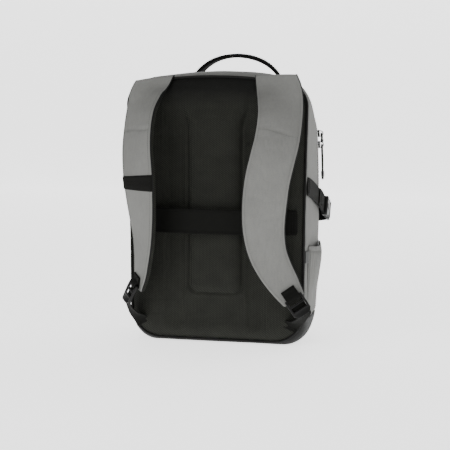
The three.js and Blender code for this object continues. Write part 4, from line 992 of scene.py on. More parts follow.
# Face: at each row, a crown of 1 - s^2 with s the share across, rolled down by an arc at both
# edges and dipped at the cross seam. Foam: a rounded square section behind it.
def makeStrap(side):
    first, last = strapTables[side][[0, -1], 0]
    downs = np.linspace(first, last, strap["rows"])
    f = strapFrames(side, downs)
    shares = np.linspace(-1, 1, 25)
    crown = strap["crown"] * (1 - shares ** 2)
    # grey face: crowned in the middle, rolled down at both edges
    roll = np.radians([100, 75, 50, 25])
    rollOut = np.stack([2.4 * np.sin(roll), 2.4 * np.cos(roll) - 2.4], -1)
    half = f["half"][:, None]
    flatHalf = half - 1.6
    a = np.concatenate([-flatHalf - rollOut[:, 0], flatHalf * shares, flatHalf + rollOut[::-1, 0]], 1)
    lift = np.r_[rollOut[:, 1], crown, rollOut[::-1, 1]]
    place = f["point"][:, None] + f["across"][:, None] * a[..., None]
    seam = downs[:, None] - strap["seamDown"] - 0.006 * np.sin(a / 14)
    folds = 0.55 * noise(place, 34, 51) - 0.6 * ridge(noise(place * vec(1, 1, 1.5), 40, 52), 0.08)
    puckers = 0.3 * ridge(seam * strapDrop - 5, 9) * noise(place, 8, 53)
    dip = -0.9 * ridge(seam * strapDrop, 1.3) + 0.35 * smooth(-seam * strapDrop, 0, 4)
    keep = 1 - smooth(np.abs(a), half - 8, half - 1)
    rise = lift + folds * keep * 0.8 + (puckers + dip) * (0.35 + 0.65 * keep)
    sheet = place + f["face"][:, None] * rise[..., None]
    sheet = np.concatenate([topTuck(sheet, 0.0), sheet])
    # the tip is closed by drawing the last rows in
    tip = sheet[-1]
    middle = tip[len(tip) // 2]
    ends = [middle + (tip - middle) * share + f["along"][-1] * reach - f["face"][-1] * deep
            for share, reach, deep in ((0.93, 1.6, 0.3), (0.7, 2.8, 1.2), (0.35, 3.2, 2.6))]
    sheet = np.concatenate([sheet, np.array(ends)])
    shape = Shape().grid(sheet, awayFrom=sheet[:-1, :-1] + vec(0, 60, 0))
    cover = shape.build(f"strapFace_{side}", greyFinish, "grey_cloth", [f"shoulder_strap_{side}"],
                        thickness=1.2, subdivide=1)
    declareCloth(cover, sheet)

    # foam body: a full rounded section behind the face
    turn = np.linspace(0, 2 * math.pi, 40, endpoint=False)
    c, s = np.cos(turn), np.sin(turn)
    a = np.sign(c) * np.abs(c) ** 0.4
    deep = (f["pad"] + 2.0)[:, None]
    out = np.where(s > 0, -1.0 - deep * 0.5 + deep * 0.5 * np.abs(s) ** 0.6,
                   -1.0 - deep * 0.5 - deep * 0.5 * np.abs(s) ** 0.6)
    width = half + 0.9
    body = f["point"][:, None] + f["across"][:, None] * (a[None] * width)[..., None]
    body = body + f["face"][:, None] * (out + strap["crown"] * 0.7 * (s > 0) * (1 - a ** 2) * 0.9)[..., None]
    uneven = 0.5 * noise(body, 30, 61) + 0.25 * noise(body, 12, 62)
    body = body + unit(body - f["point"][:, None]) * (uneven * (1 - 0.5 * (s > 0)))[..., None]
    body = np.concatenate([topTuck(body, 1.5), body])
    middle = body[-1].mean(axis=0)
    caps = [middle + (body[-1] - middle) * share + f["along"][-1] * reach
            for share, reach in ((0.95, 1.2), (0.8, 2.4), (0.5, 3.2))]
    body = np.concatenate([body, np.array(caps)])
    shape = Shape().loft(body)
    foam = shape.build(f"strapFoam_{side}", meshFinish, "black_mesh", [f"strap_pad_{side}"], subdivide=1)

    # bindings along both edges, where face and foam meet
    shape = Shape()
    for edge in (-1, 1):
        line = f["point"] + f["across"] * (edge * (f["half"] + 0.7))[:, None] - f["face"] * 2.6
        line = np.concatenate([topTuck(line[:, None], 0.8)[:, 0], line])
        hint = np.concatenate([np.repeat(f["face"][:1], 8, 0), f["face"]])
        addCord(shape, line, 1.35, hint)
    shape.build(f"strapBinding_{side}", darkFinish, "black_cloth")

    # top stitching beside the cross seam and along the edges
    shape = Shape()
    belowSeam = 3.2
    g = strapFrames(side, np.full(40, strap["seamDown"] + belowSeam / strapDrop))
    s = np.linspace(-0.9, 0.9, 40)
    line = g["point"] + g["across"] * (s * g["half"])[:, None]
    line[:, 2] -= strapDrop * 0.006 * np.sin(s * g["half"] / 14)
    line = line + g["face"] * (strap["crown"] * (1 - s ** 2) + 0.25)[:, None]
    addStitches(shape, line, g["face"], 0.3)
    for edge in (-1, 1):
        line = f["point"] + f["across"] * (edge * (f["half"] - 3.6))[:, None]
        line = line + f["face"] * 0.45
        addStitches(shape, line[6:-2], f["face"][6:-2], 0.1)
    shape.build(f"strapStitches_{side}", greyThread, "grey_cloth")
    return cover


for side in ("left", "right"):
    makeStrap(side)
print("shoulder straps")


# Webbing band across the left strap: it follows the crowned face and turns over both edges
def makeStrapLoop():
    offsets = np.linspace(-0.5, 0.5, 13)
    downs = (strap["top"] - strap["loopHeight"] + offsets * strap["loopWidth"]) / strapDrop
    f = strapFrames("left", downs)
    s = np.concatenate([[-1.03, -1.035, -1.03], np.linspace(-1, 1, 41), [1.03, 1.035, 1.03]])
    turned = np.array([-6, -3.5, -1.2])
    over = strap["crown"] * (1 - s[3:-3] ** 2) - 0.3 * (np.abs(s[3:-3]) > 0.97)
    lift = np.concatenate([turned, over, turned[::-1]])
    grid = f["point"][:, None] + f["across"][:, None] * (s[None] * f["half"][:, None])[..., None]
    selvedge = -0.5 * ridge((np.abs(offsets) - 0.5) * 26, 1.0)
    middle = -0.45 * ridge(np.abs(np.abs(offsets) * 25 - 2.6), 0.9)
    grid = grid + f["face"][:, None] * (lift[None] + 1.5 + (selvedge + middle)[:, None]
                                        + 0.2 * noise(grid, 14, 71))[..., None]
    grid = np.swapaxes(grid, 0, 1)
    shape = Shape().grid(grid, awayFrom=grid[:-1, :-1] + vec(0, 60, 0))
    loop = shape.build("strapLoop", webFinish, "black_webbing", ["strap_loop_left"],
                       thickness=1.2, subdivide=1)
    shape = Shape()
    for row in (0.1, -0.1, 0.42, -0.42):
        k = np.full(30, (strap["top"] - strap["loopHeight"] + row * strap["loopWidth"]) / strapDrop)
        g = strapFrames("left", k)
        s = np.linspace(-0.97, 0.97, 30)
        line = g["point"] + g["across"] * (s * g["half"])[:, None]
        line = line + g["face"] * (strap["crown"] * (1 - s ** 2) + 1.55)[:, None]
        addStitches(shape, line, g["face"], 0.15)
    shape.build("strapLoopStitches", darkThread, "black_webbing")
    return loop


makeStrapLoop()


# Rigid parts
# Frame of a small part: its origin, across, along and face directions in the bag's coordinates.
def frameFrom(origin, along, face):
    return {"origin": origin, "across": unit(np.cross(along, face)), "along": along, "face": face}


# Points given across, along and out of a frame, in the bag's coordinates.
def inFrame(f, points):
    points = np.asarray(points, float)
    return (f["origin"] + points[..., :1] * f["across"] + points[..., 1:2] * f["along"]
            + points[..., 2:] * f["face"])


# The same frame moved, and turned so that its length runs across.
def crosswise(f, x=0.0, y=0.0, z=0.0):
    origin = inFrame(f, vec(x, y, z))
    return {"origin": origin, "across": -f["along"], "along": f["across"], "face": f["face"]}


# Moulded bar with rounded edges and ends: rows hold the place along it, half width, low and high.
# Each end ring is drawn in by the radius less the radius times the sine of its quarter turn.
def addBar(shape, f, rows, radius=1.0, middle=0.0):
    rows = np.asarray(rows, float)
    radius = min(radius, 0.49 * np.min(rows[:, 3] - rows[:, 2]), 0.95 * np.min(rows[:, 1]))
    turn = np.array([0.15, 0.45, 0.75, 1.0]) * math.pi / 2
    start = rows[0, 0] + radius * (1 - np.cos(turn))
    end = rows[-1, 0] - radius * (1 - np.cos(turn[::-1]))
    between = rows[1:-1, 0]
    between = between[(between > start[-1] + 0.2) & (between < end[0] - 0.2)]
    at = np.concatenate([start, between, end])
    inset = np.concatenate([radius * (1 - np.sin(turn)), 0 * between, radius * (1 - np.sin(turn[::-1]))])
    half, low, high = (np.interp(at, rows[:, 0], rows[:, k]) for k in (1, 2, 3))
    corner = np.repeat(np.arange(4), 4)
    angle = (corner + np.tile(np.linspace(0.08, 0.92, 4), 4)) * math.pi / 2
    signX = np.where((corner == 0) | (corner == 3), 1, -1)
    top = corner < 2
    curve = (radius - inset)[:, None]
    x = middle + signX * (half - radius)[:, None] + curve * np.cos(angle)
    z = np.where(top, (high - radius)[:, None], (low + radius)[:, None]) + curve * np.sin(angle)
    y = np.broadcast_to(at[:, None], x.shape)
    return shape.loft(inFrame(f, np.stack([x, y, z], -1)))


# Webbing whose width direction is given at each point of its path, lifted a little by noise.
def addRibbon(shape, path, across, width, wall, section=None):
    along = unit(np.gradient(path, axis=0))
    across = np.broadcast_to(across, path.shape)
    across = unit(across - along * np.sum(across * along, -1, keepdims=True))
    out = np.cross(across, along)
    section = webSection(width, wall) if section is None else section
    grid = sweep(path, across, out, section)
    lift = 0.2 * noise(path, 20, 33)
    shape.loft(grid + out[:, None] * lift[:, None, None])
    return across, out


# Rectangle of stitches in a flat frame and, where it is crossed, its two diagonals.
def addBoxStitch(shape, f, low, high, z, crossed=True):
    (x0, y0), (x1, y1) = low, high
    corners = [(x0, y0), (x1, y0), (x1, y1), (x0, y1), (x0, y0)]
    lines = [corners[k:k + 2] for k in range(4)]
    if crossed:
        lines += [[corners[0], corners[2]], [corners[1], corners[3]]]
    for a, b in lines:
        t = np.linspace(0, 1, 12)[:, None]
        flat = np.array(a) * (1 - t) + np.array(b) * t
        line = inFrame(f, np.concatenate([flat, np.full((12, 1), z)], 1))
        addStitches(shape, line, np.repeat(f["face"][None], 12, 0), 0.15)


# Strap ends: sewn webbing, ladder locks and the lower webbing
lock = {
    "width": 33, "length": 27, "wall": 4.2, "bar": 4, "lip": 8, "webLift": 3.0, "lift": 6.2,
    "patch": 22, "webWidth": 25, "webWall": 1.6, "anchorX": 128, "anchorHeight": 30, "set": -5,
    "lean": {"left": 20, "right": 5},
}


# The lock's frame: set along the strap from its tip and leaning away from its face by an angle.
def lockFrame(side):
    last = strapTables[side][-1, 0]
    tip = {key: value[-1] for key, value in strapFrames(side, np.array([0.9, last])).items()}
    lean = math.radians(lock["lean"][side])
    along = unit(tip["along"] * math.cos(lean) + tip["face"] * math.sin(lean))
    face = unit(tip["face"] * math.cos(lean) - tip["along"] * math.sin(lean))
    return frameFrom(tip["point"] + tip["along"] * lock["set"] + tip["face"] * 0.6, along, face)


# Webbing up the strap's end, round the lock's first bar and back over itself.
def makeEndWebbing(side):
    k = lock
    f = lockFrame(side)
    downs = np.linspace(0.85, strapTables[side][-1, 0], 60)
    g = strapFrames(side, downs)
    line = g["point"]
    run = np.r_[0, np.cumsum(np.linalg.norm(np.diff(line, axis=0), axis=1))]
    keep = run > run[-1] - k["patch"]
    lower = (line + g["face"] * (k["webLift"] - 0.6))[keep]
    # folded up round the lock's first bar and back over itself
    fold = inFrame(f, np.array([[0, 2.5, 2.5], [0, 5.6, 3.2], [0, 6.9, 5.4], [0, 6.0, 8.3], [0, 2.5, 9.2],
                                [0, -2.5, 7.4], [0, -8, 4.9]]))
    upper = (line + g["face"] * (k["webLift"] + 1.1))[keep][::-1]
    upper = upper[14:]
    path = curveThrough(np.concatenate([lower[::3], fold, upper[::3]]), 1.2)
    shape = Shape()
    addRibbon(shape, path, f["across"], k["webWidth"], k["webWall"])
    piece = shape.build(f"endWebbing_{side}", webFinish, "black_webbing", [f"strap_end_webbing_{side}"])
    flat = {"origin": g["point"][20], "across": unit(g["across"][30]),
            "along": unit(g["along"][30]), "face": unit(g["face"][30])}
    length = float(np.dot(line[keep][0] - flat["origin"], flat["along"]))
    shape = Shape()
    addBoxStitch(shape, flat, (-10, length + 2.5), (10, length + 9), k["webLift"] + 2.1)
    shape.build(f"endWebbingStitches_{side}", darkThread, "black_webbing")
    return piece


# Two rails, three bars across them, a ridged grip and a lip that narrows as the root of one less
# the 2.6th power of the share along it and rises as its square.
def makeLadderLock(side):
    k = lock
    f = lockFrame(side)
    f = dict(f, origin=f["origin"] + f["face"] * k["lift"])
    shape = Shape()
    half = k["width"] / 2
    for sign in (-1, 1):
        rails = [[0, 1.7, -2.0, 1.9], [5, 1.9, -2.1, 2.3], [14, 1.9, -2.1, 2.5], [22, 1.9, -2.1, 2.1],
                 [30, 1.7, -1.6, 1.7]]
        addBar(shape, f, rails, 1.3, sign * (half - 1.9))
    bars = [[-half + 1, 1.9, -1.9, 1.7], [half - 1, 1.9, -1.9, 1.7]]
    for y, high in ((2.0, 0.0), (13.4, 0.5), (24.6, 0.2)):
        rows = [[a, b, c, d + high] for a, b, c, d in bars]
        addBar(shape, crosswise(f, 0, y, 0), rows, 1.7)
    # ridged grip on the middle bar
    for y in (11.9, 13.4, 14.9):
        addBar(shape, crosswise(f, 0, y, 2.1), [[-11, 0.45, -0.4, 0.5], [11, 0.45, -0.4, 0.5]], 0.4)
    # lip that curves up off the strap and narrows to its end
    share = np.linspace(0, 1, 9)
    y = 24 + 11.5 * share
    wide = half * np.sqrt(np.maximum(1 - (share * 0.9) ** 2.6, 0.05))
    low = -2.1 + 4.4 * share ** 2
    lip = np.stack([y, wide, low, low + 4.0 - 1.9 * share], -1)
    addBar(shape, f, lip, 1.2)
    return shape.build(f"ladderLock_{side}", plasticFinish, "black_plastic", [f"ladder_lock_{side}"])


# Webbing from under the lock's last bar to the lower corner of the panel. Its width direction
# turns from the lock's to the sewn one with the square of the share along it.
def makeLowerWebbing(side):
    k = lock
    sign = -1 if side == "left" else 1
    f = lockFrame(side)
    start = inFrame(f, vec(0, k["length"] - 15, k["webLift"] - 1.0))
    under = inFrame(f, vec(0, k["length"] - k["bar"], k["webLift"] - 0.4))
    leave = inFrame(f, vec(0, k["length"] + k["lip"], k["webLift"] - 1.5))
    rest = float(padRise(vec(k["anchorX"]), vec(k["anchorHeight"]))[0])
    anchor = vec(sign * k["anchorX"], -rest - 1.6, k["anchorHeight"])
    landing = anchor + vec(sign * 4, -1.2, 8)
    middle = (leave + landing) / 2 + vec(sign * 2, -1, -2)
    path = curveThrough([start, under, leave, middle, landing, anchor], 1.5)
    t = np.linspace(0, 1, len(path))[:, None]
    sewn = unit(vec(0.75, 0, -sign * 0.66))  # direction of its width where it is sewn down
    sewn = sewn * np.sign(np.dot(f["across"], sewn))
    across = unit(f["across"] * (1 - t * t) + sewn * t * t)
    shape = Shape()
    addRibbon(shape, path, across, k["webWidth"], k["webWall"])
    return shape.build(f"lowerWebbing_{side}", webFinish, "black_webbing", [f"lower_webbing_{side}"])


for side in ("left", "right"):
    makeEndWebbing(side)
    makeLadderLock(side)
    makeLowerWebbing(side)
print("strap ends")


# Trolley band: flat elastic sewn down at both ends, standing off the panel in the middle
band = {"low": 190, "height": 42, "wall": 2, "standoff": 20, "endInset": 9}
bandTable = np.array([[0, 1], [0.35, 0.97], [0.6, 0.78], [0.78, 0.4], [0.9, 0.06], [1, 0]])


# Path: off the panel by the table's share of the standoff, and never nearer than the panel's own
# rise, with thicker selvedges in the section.
def makeBand():
    k = band
    halfLength = float(bodySection(0, backPad["inset"])[0]) - k["endInset"]
    middle = k["low"] + k["height"] / 2
    share = np.linspace(-1, 1, 121)
    x = halfLength * share
    off = tableCurve(bandTable, 1, np.abs(share))
    rest = padRise(x, np.full_like(x, middle)) + 1.7
    stand = np.maximum(backPad["rise"] * smooth(off, 0.25, 0.7) + k["standoff"] * off, 0)
    y = -np.maximum(np.maximum(stand, rest + 0.9 * np.abs(np.gradient(stand))), rest)
    path = np.stack([x, y, np.full_like(x, middle)], -1)
    path = relax(path[None], 3, False)[0]
    half, h = k["height"] / 2, k["wall"] / 2
    across = np.array([1, 0.985, 0.96, 0.86, 0.855, 0.4, 0, -0.4, -0.855, -0.86, -0.96, -0.985, -1]) * half
    lift = np.array([0, 0.8, 1.05, 1.05, 0.7, 0.7, 0.7, 0.7, 0.7, 1.05, 1.05, 0.8, 0]) * h
    section = np.concatenate([np.stack([across, lift], -1), np.stack([across[-2:0:-1], -lift[-2:0:-1]], -1)])
    shape = Shape()
    addRibbon(shape, path, vec(0, 0, 1), k["height"], k["wall"], section)
    piece = shape.build("trolleyBand", bandFinish, "black_webbing", ["trolley_band"], subdivide=1)
    shape = Shape()
    for edge in (-1, 1):
        at = edge * (half - 3.6)
        line = path[4:-4] + vec(0, -h - 0.15, at)
        addStitches(shape, line, np.repeat(vec(0, -1, 0)[None], len(line), 0), 0.05)
    for sideways in (-1, 1):
        ends = {"origin": vec(sideways * (halfLength - 5), y[-4] - 1.6, middle),
                "across": vec(1, 0, 0), "along": vec(0, 0, 1), "face": vec(0, -1, 0)}
        addBoxStitch(shape, ends, (-2.5, -half + 3), (2.5, half - 3), 0.0, False)
    shape.build("trolleyBandStitches", darkThread, "black_webbing")
    return piece


makeBand()


# Haul handle: padded webbing arched over the top
handle = {"depth": 140, "halfSpan": 96, "rise": 40, "width": 24, "wall": 7, "endWall": 2.4, "centre": 2}
handleTable = np.array([
    [0, 1, 1], [0.25, 0.96, 1], [0.5, 0.83, 1], [0.7, 0.58, 0.9], [0.84, 0.26, 0.4], [0.92, 0.06, 0.1],
    [1.08, 0, 0]])


# Path: the table's share of the rise above the top, with a rounded square section whose wall
# thins towards the sewn ends.
def makeHandle():
    k = handle
    share = np.linspace(-1.08, 1.08, 97)
    x = k["halfSpan"] * share
    rise = tableCurve(handleTable, 1, np.abs(share))
    wall = k["endWall"] + (k["wall"] - k["endWall"]) * tableCurve(handleTable, 2, np.abs(share))
    x = x + k["centre"]
    z = topAt(np.full_like(x, k["depth"]), x) + 0.9 + wall / 2 + k["rise"] * rise
    path = np.stack([x, np.full_like(x, k["depth"]), z], -1)
    slope = (topAt(np.full_like(x, k["depth"] + 12), x) - topAt(np.full_like(x, k["depth"] - 12), x)) / 24
    wide = unit(np.stack([0 * x, np.ones_like(x), slope * (1 - np.clip(rise, 0, 1))], -1))
    along = unit(np.gradient(path, axis=0))
    up = unit(np.cross(along, wide))
    turn = (np.arange(28) + 0.5) * 2 * math.pi / 28
    a = np.sign(np.cos(turn)) * np.abs(np.cos(turn)) ** 0.45 * k["width"] / 2
    f = np.sign(np.sin(turn)) * np.abs(np.sin(turn)) ** 0.7 * 0.5
    grid = path[:, None] + wide[:, None] * a[None, :, None]
    grid = grid + up[:, None] * (f[None] * wall[:, None])[..., None]
    grid = grid + up[:, None] * (0.25 * noise(grid, 24, 81))[..., None]
    shape = Shape().loft(grid)
    piece = shape.build("haulHandle", webFinish, "black_webbing", ["haul_handle"], subdivide=1)
    shape = Shape()
    for edge in (-1, 1):
        line = path + wide * (edge * (k["width"] / 2 - 2.6)) + up * (wall / 2)[:, None]
        addStitches(shape, line[9:-9], up[9:-9], 0.1)
    for sideways in (-1, 1):
        at = 5 if sideways < 0 else -6
        f = {"origin": path[at], "across": unit(along[at]), "along": wide[at], "face": up[at]}
        addBoxStitch(shape, f, (-6, -8.5), (6, 8.5), wall[at] / 2 + 0.15)
    shape.build("haulHandleStitches", darkThread, "black_webbing")
    return piece


makeHandle()
print("band and handle")


# Side compression straps with their buckles
sideWeb = {"width": 31, "rear": 4.0, "rearHeight": 272, "drop": 41, "start": 121, "tailEnd": 163, "swell": 4}
buckle = {"width": 35}
sideSlope = unit(vec(0, 118, -48))


# Height of the side webbing: it drops as the 1.25th power of the share of the way to the zip.
def sideWebHeight(depth):
    return sideWeb["rearHeight"] - sideWeb["drop"] * (depth / bag["zipFront"]) ** 1.25


# Distance of the side webbing from the middle: the most of the body's half width at its two
# edges and its middle, and a swell towards the buckle.
def sideWebX(depth):
    within = np.minimum(depth, bag["zipMiddle"])
    edges = [sideAt(within, sideWebHeight(depth) + e * sideWeb["width"] / 2) for e in (-1, 0, 1)]
    return np.max(edges, axis=0) + 1.4 + sideWeb["swell"] * smooth(depth, 20, 115)


def buckleFrame(sign):
    depth = sideWeb["start"]
    origin = vec(sign * (float(sideWebX(vec(115))[0]) + 1), depth, float(sideWebHeight(depth)))
    face = vec(sign, 0, 0)
    return frameFrom(origin, sideSlope, face)


# Webbing from the rear seam to the buckle, with its end folded back on it.
def makeSideStrap(side):
    sign = -1 if side == "left" else 1
    depth = np.linspace(sideWeb["rear"], sideWeb["start"] - 0.3, 70)
    x = sideWebX(depth)
    x = relax(np.stack([x, x, x], -1)[None], 4, False)[0][:, 0] + 0.5
    x[:3] = x[:3] - vec(1.2, 0.5, 0.1)
    path = np.stack([sign * x, depth, sideWebHeight(depth)], -1)
    across = np.cross(vec(sign, 0, 0), sideSlope)
    shape = Shape()
    addRibbon(shape, path, across, sideWeb["width"], 1.6)
    # second layer: the end that is folded back and sewn behind the buckle
    addRibbon(shape, path[-26:] + vec(sign * 1.7, 0, 0), across, sideWeb["width"] - 0.6, 1.5)
    piece = shape.build(f"compressionStrap_{side}", webFinish, "black_webbing", [f"compression_strap_{side}"])
    shape = Shape()
    f = frameFrom(path[-19], sideSlope, vec(sign, 0, 0))
    addBoxStitch(shape, f, (-10, -8), (10, 6), 2.7)
    f = frameFrom(path[4], sideSlope, vec(sign, 0, 0))
    addBoxStitch(shape, f, (-11, -2.5), (11, 3), 0.95, False)
    shape.build(f"compressionStitches_{side}", darkThread, "black_webbing")
    return piece


# Socket of the side buckle: waisted shell with a rib, side windows and the prongs' ends in them
def makeBuckle(side):
    sign = -1 if side == "left" else 1
    f = buckleFrame(sign)
    shape = Shape()
    shell = [[0, 14.4, -2.4, 6.2], [2, 16.4, -2.9, 6.8], [5, 17.3, -3, 7], [9, 17.3, -3, 7],
             [10.5, 15.2, -3, 7], [19, 14.8, -3, 7], [21, 15.8, -3, 6.9], [24.5, 15.6, -2.8, 6.5],
             [27, 14.2, -2.2, 5.9]]
    addBar(shape, f, shell, 2.2)
    addBar(shape, f, [[4, 4.0, 6, 7.5], [12, 5.0, 6, 8.0], [23, 4.2, 6, 7.5]], 1.2)
    for edge in (-1, 1):
        prong = [[9.5, 1.6, 0.0, 4.0], [13, 2.3, -0.4, 4.4], [17, 2.5, -0.4, 4.4], [20.5, 1.6, 0.0, 4.0]]
        addBar(shape, f, prong, 1.2, edge * 15.6)
        for y in (12.0, 14.0, 16.0, 18.0):
            rib = [[-0.5, 0.4, -1.8, 1.8], [0.6, 0.4, -1.8, 1.8]]
            addBar(shape, crosswise(f, edge * 17.6, y, 2.0), rib, 0.3)
    piece = shape.build(f"buckleSocket_{side}", plasticFinish, "black_plastic", [f"side_buckle_{side}"])

    shape = Shape()
    half = buckle["width"] / 2 - 1
    for y, high in ((29.4, 4.6), (35.0, 4.4), (40.8, 4.2)):
        rows = [[-half + 1, 1.7, -0.5, high], [half - 1, 1.7, -0.5, high]]
        addBar(shape, crosswise(f, 0, y, 0), rows, 1.5)
    for edge in (-1, 1):
        rail = [[27.3, 1.4, -0.5, 4.5], [34, 1.8, -0.7, 5.0], [42, 1.5, -0.4, 4.2]]
        addBar(shape, f, rail, 1.3, edge * (half - 1.6))
    addBar(shape, f, [[10, 12, -0.4, 4.4], [28.5, 12.3, -0.4, 4.4]], 1.0)
    shape.build(f"buckleTongue_{side}", plasticFinish, "black_plastic", [f"side_tongue_{side}"])

    # tail: over the tongue's middle bar, then down to where it is sewn on the front shell
    begin = inFrame(f, vec(0, 43.2, 2))
    height = begin[2] - 6
    surface = vec(sign * float(sideAt(sideWeb["tailEnd"], height)), sideWeb["tailEnd"], height)
    ahead = vec(sign * float(sideAt(sideWeb["tailEnd"] + 2, height)), sideWeb["tailEnd"] + 2, height)
    behind = vec(sign * float(sideAt(sideWeb["tailEnd"] - 2, height)), sideWeb["tailEnd"] - 2, height)
    out = unit(np.cross(unit(ahead - behind), vec(0, 0, 1)))
    out = out * np.sign(out[0] * sign)
    bend = begin + f["along"] * 3.0 - vec(sign * 3.6, 0, 0)
    threaded = inFrame(f, np.array([
        [0, 33.0, 0.2], [0, 33.0, 3.0], [0, 35.0, 5.6], [0, 37.6, 3.4], [0, 40.6, -1.4]]))
    path = curveThrough(np.concatenate([threaded, [bend], [surface + out * 1.2]]), 1.0)
    shape = Shape()
    addRibbon(shape, path, f["across"], sideWeb["width"] - 3, 1.5)
    shape.build(f"compressionTail_{side}", webFinish, "black_webbing", [f"compression_tail_{side}"])
    return piece


for side in ("left", "right"):
    makeSideStrap(side)
    makeBuckle(side)
print("compression straps")


# Side pockets: open at the mouth, with a hem over elastic
pocket = {"rear": 20, "front": 108, "low": 50, "mouth": 169, "bulge": 12, "dip": 5}


# Pocket's surface: u runs from rear to front and v from bottom to mouth. The bulge goes as the
# 0.7th power of the sine across u, and the mouth dips by the same sine.
def pocketSurface(u, v, lift=0.0):
    k = pocket
    mouth = k["mouth"] - k["dip"] * np.sin(math.pi * u)
    z = k["low"] + (mouth - k["low"]) * v
    y = k["rear"] + (k["front"] - k["rear"]) * u
    bulge = k["bulge"] * np.sin(math.pi * np.clip(u, 0, 1)) ** 0.7 * smooth(v, 0.1, 0.85)
    bulge = bulge * (1 - 0.2 * smooth(v, 0.88, 1))
    return np.stack([sideAt(y, z) + 1.2 + bulge + lift, y, z], -1)


# The surface with its swells, folds and gathers, and a hem that turns in over the elastic.
def makeSidePocket(side):
    sign = -1 if side == "left" else 1
    u = np.linspace(0, 1, 81)[None, :]
    v = np.concatenate([np.linspace(0, 0.92, 74), np.linspace(0.935, 1, 8)])[:, None]
    u, v = np.broadcast_arrays(u, v)
    grid = pocketSurface(u, v)
    seed = 90 + (sign > 0) * 7
    width, height = pocket["front"] - pocket["rear"], 118  # its height is a little short of the mouth
    edge = np.minimum(np.minimum(u, 1 - u) * width, v * height)
    hem = ridge((v - 0.965) * height, 3.6)
    swell = 0.8 * noise(grid, 34, seed) + 0.45 * noise(grid * vec(1, 1.6, 0.55), 18, seed + 1)
    folds = -0.7 * ridge(noise(grid * vec(1, 1.2, 0.5), 30, seed + 2), 0.1)
    gather = 0.5 * np.sin(u * width * 1.15 + 1.3 * np.sin(u * 21))
    gather = gather * smooth(v, 0.55, 0.93) * (1 - smooth(v, 0.93, 0.95))
    groove = -0.6 * ridge((v - 0.925) * height, 1.2) - 0.5 * ridge(edge - 1.2, 1.4)
    lift = (swell + folds + gather * 0.8) * smooth(edge, 0, 9) + groove + 0.5 * hem
    grid = grid + vec(1, 0, 0) * np.where(edge < 0.01, 0, lift)[..., None]
    # the mouth is rolled in over its elastic
    top = grid[-1]
    hemTurn = ((-0.5, 0.9), (-1.5, 1.2), (-2.4, 0.7), (-2.7, -0.6), (-2.6, -5.0))  # inwards and up
    rolls = [top + vec(inward, 0, rise) for inward, rise in hemTurn]
    deep = smooth(np.minimum(u[0], 1 - u[0]), 0, 0.08)[:, None]
    rolls = [top + (roll - top) * deep for roll in rolls]
    grid = np.concatenate([grid, np.array(rolls)])
    grid = grid * vec(sign, 1, 1)
    shape = Shape().grid(grid, awayFrom=vec(0, 64, 110))
    piece = shape.build(f"sidePocket_{side}", greyFinish, "grey_cloth", [f"side_pocket_{side}"],
                        thickness=1.1, subdivide=1)
    declareCloth(piece, grid)
    shape = Shape()
    us = np.linspace(0.01, 0.99, 60)
    line = pocketSurface(us, np.full_like(us, 0.925), 0.2) * vec(sign, 1, 1)
    addStitches(shape, line, np.repeat(vec(sign, 0, 0)[None], 60, 0), 0.2)
    for at, vs in ((0.03, (0.02, 0.97)), (0.97, (0.02, 0.97))):
        v2 = np.linspace(*vs, 50)
        line = pocketSurface(np.full_like(v2, at), v2, 0.3) * vec(sign, 1, 1)
        addStitches(shape, line, np.repeat(vec(sign, 0, 0)[None], 50, 0), 0.25)
    shape.build(f"sidePocketStitches_{side}", greyThread, "grey_cloth")
    return piece


for side in ("left", "right"):
    makeSidePocket(side)
print("side pockets")


# Folded cloth tag, blank, caught in the rear seam: a strip out from the seam and back behind it.
tag = {"rear": 4, "front": 19, "height": 152, "half": 10}


def makeSideTag():
    depth = np.linspace(tag["rear"], tag["front"], 16)[None, :]
    z = tag["height"] + np.linspace(-tag["half"], tag["half"], 13)[:, None]
    depth, z = np.broadcast_arrays(depth, z)
    uneven = 0.25 * noise(np.stack([depth, z, z], -1), 7, 95)
    x = sideAt(depth, z) + 1.5 + 0.9 * smooth(depth, 8, tag["front"]) + uneven
    grid = np.stack([x, depth, z], -1)
    end = grid[:, -1:] + vec(-0.7, 0.9, 0)
    back = grid[:, ::-1] - vec(1.3, 0, 0)
    grid = np.concatenate([grid, end, back], axis=1)
    shape = Shape().grid(grid, awayFrom=grid[:-1, :-1].mean(axis=(0, 1)))
    piece = shape.build("sideTag", tagFinish, "tag_cloth", ["side_tag"], thickness=0.4)
    return declareCloth(piece, grid)


makeSideTag()


# Main zip: tape in the gap between gusset and front shell, a row of interlocked coils along it
zipper = {"end": 240, "rear": 104, "front": 118, "pitch": 1.7, "wide": 5.4}


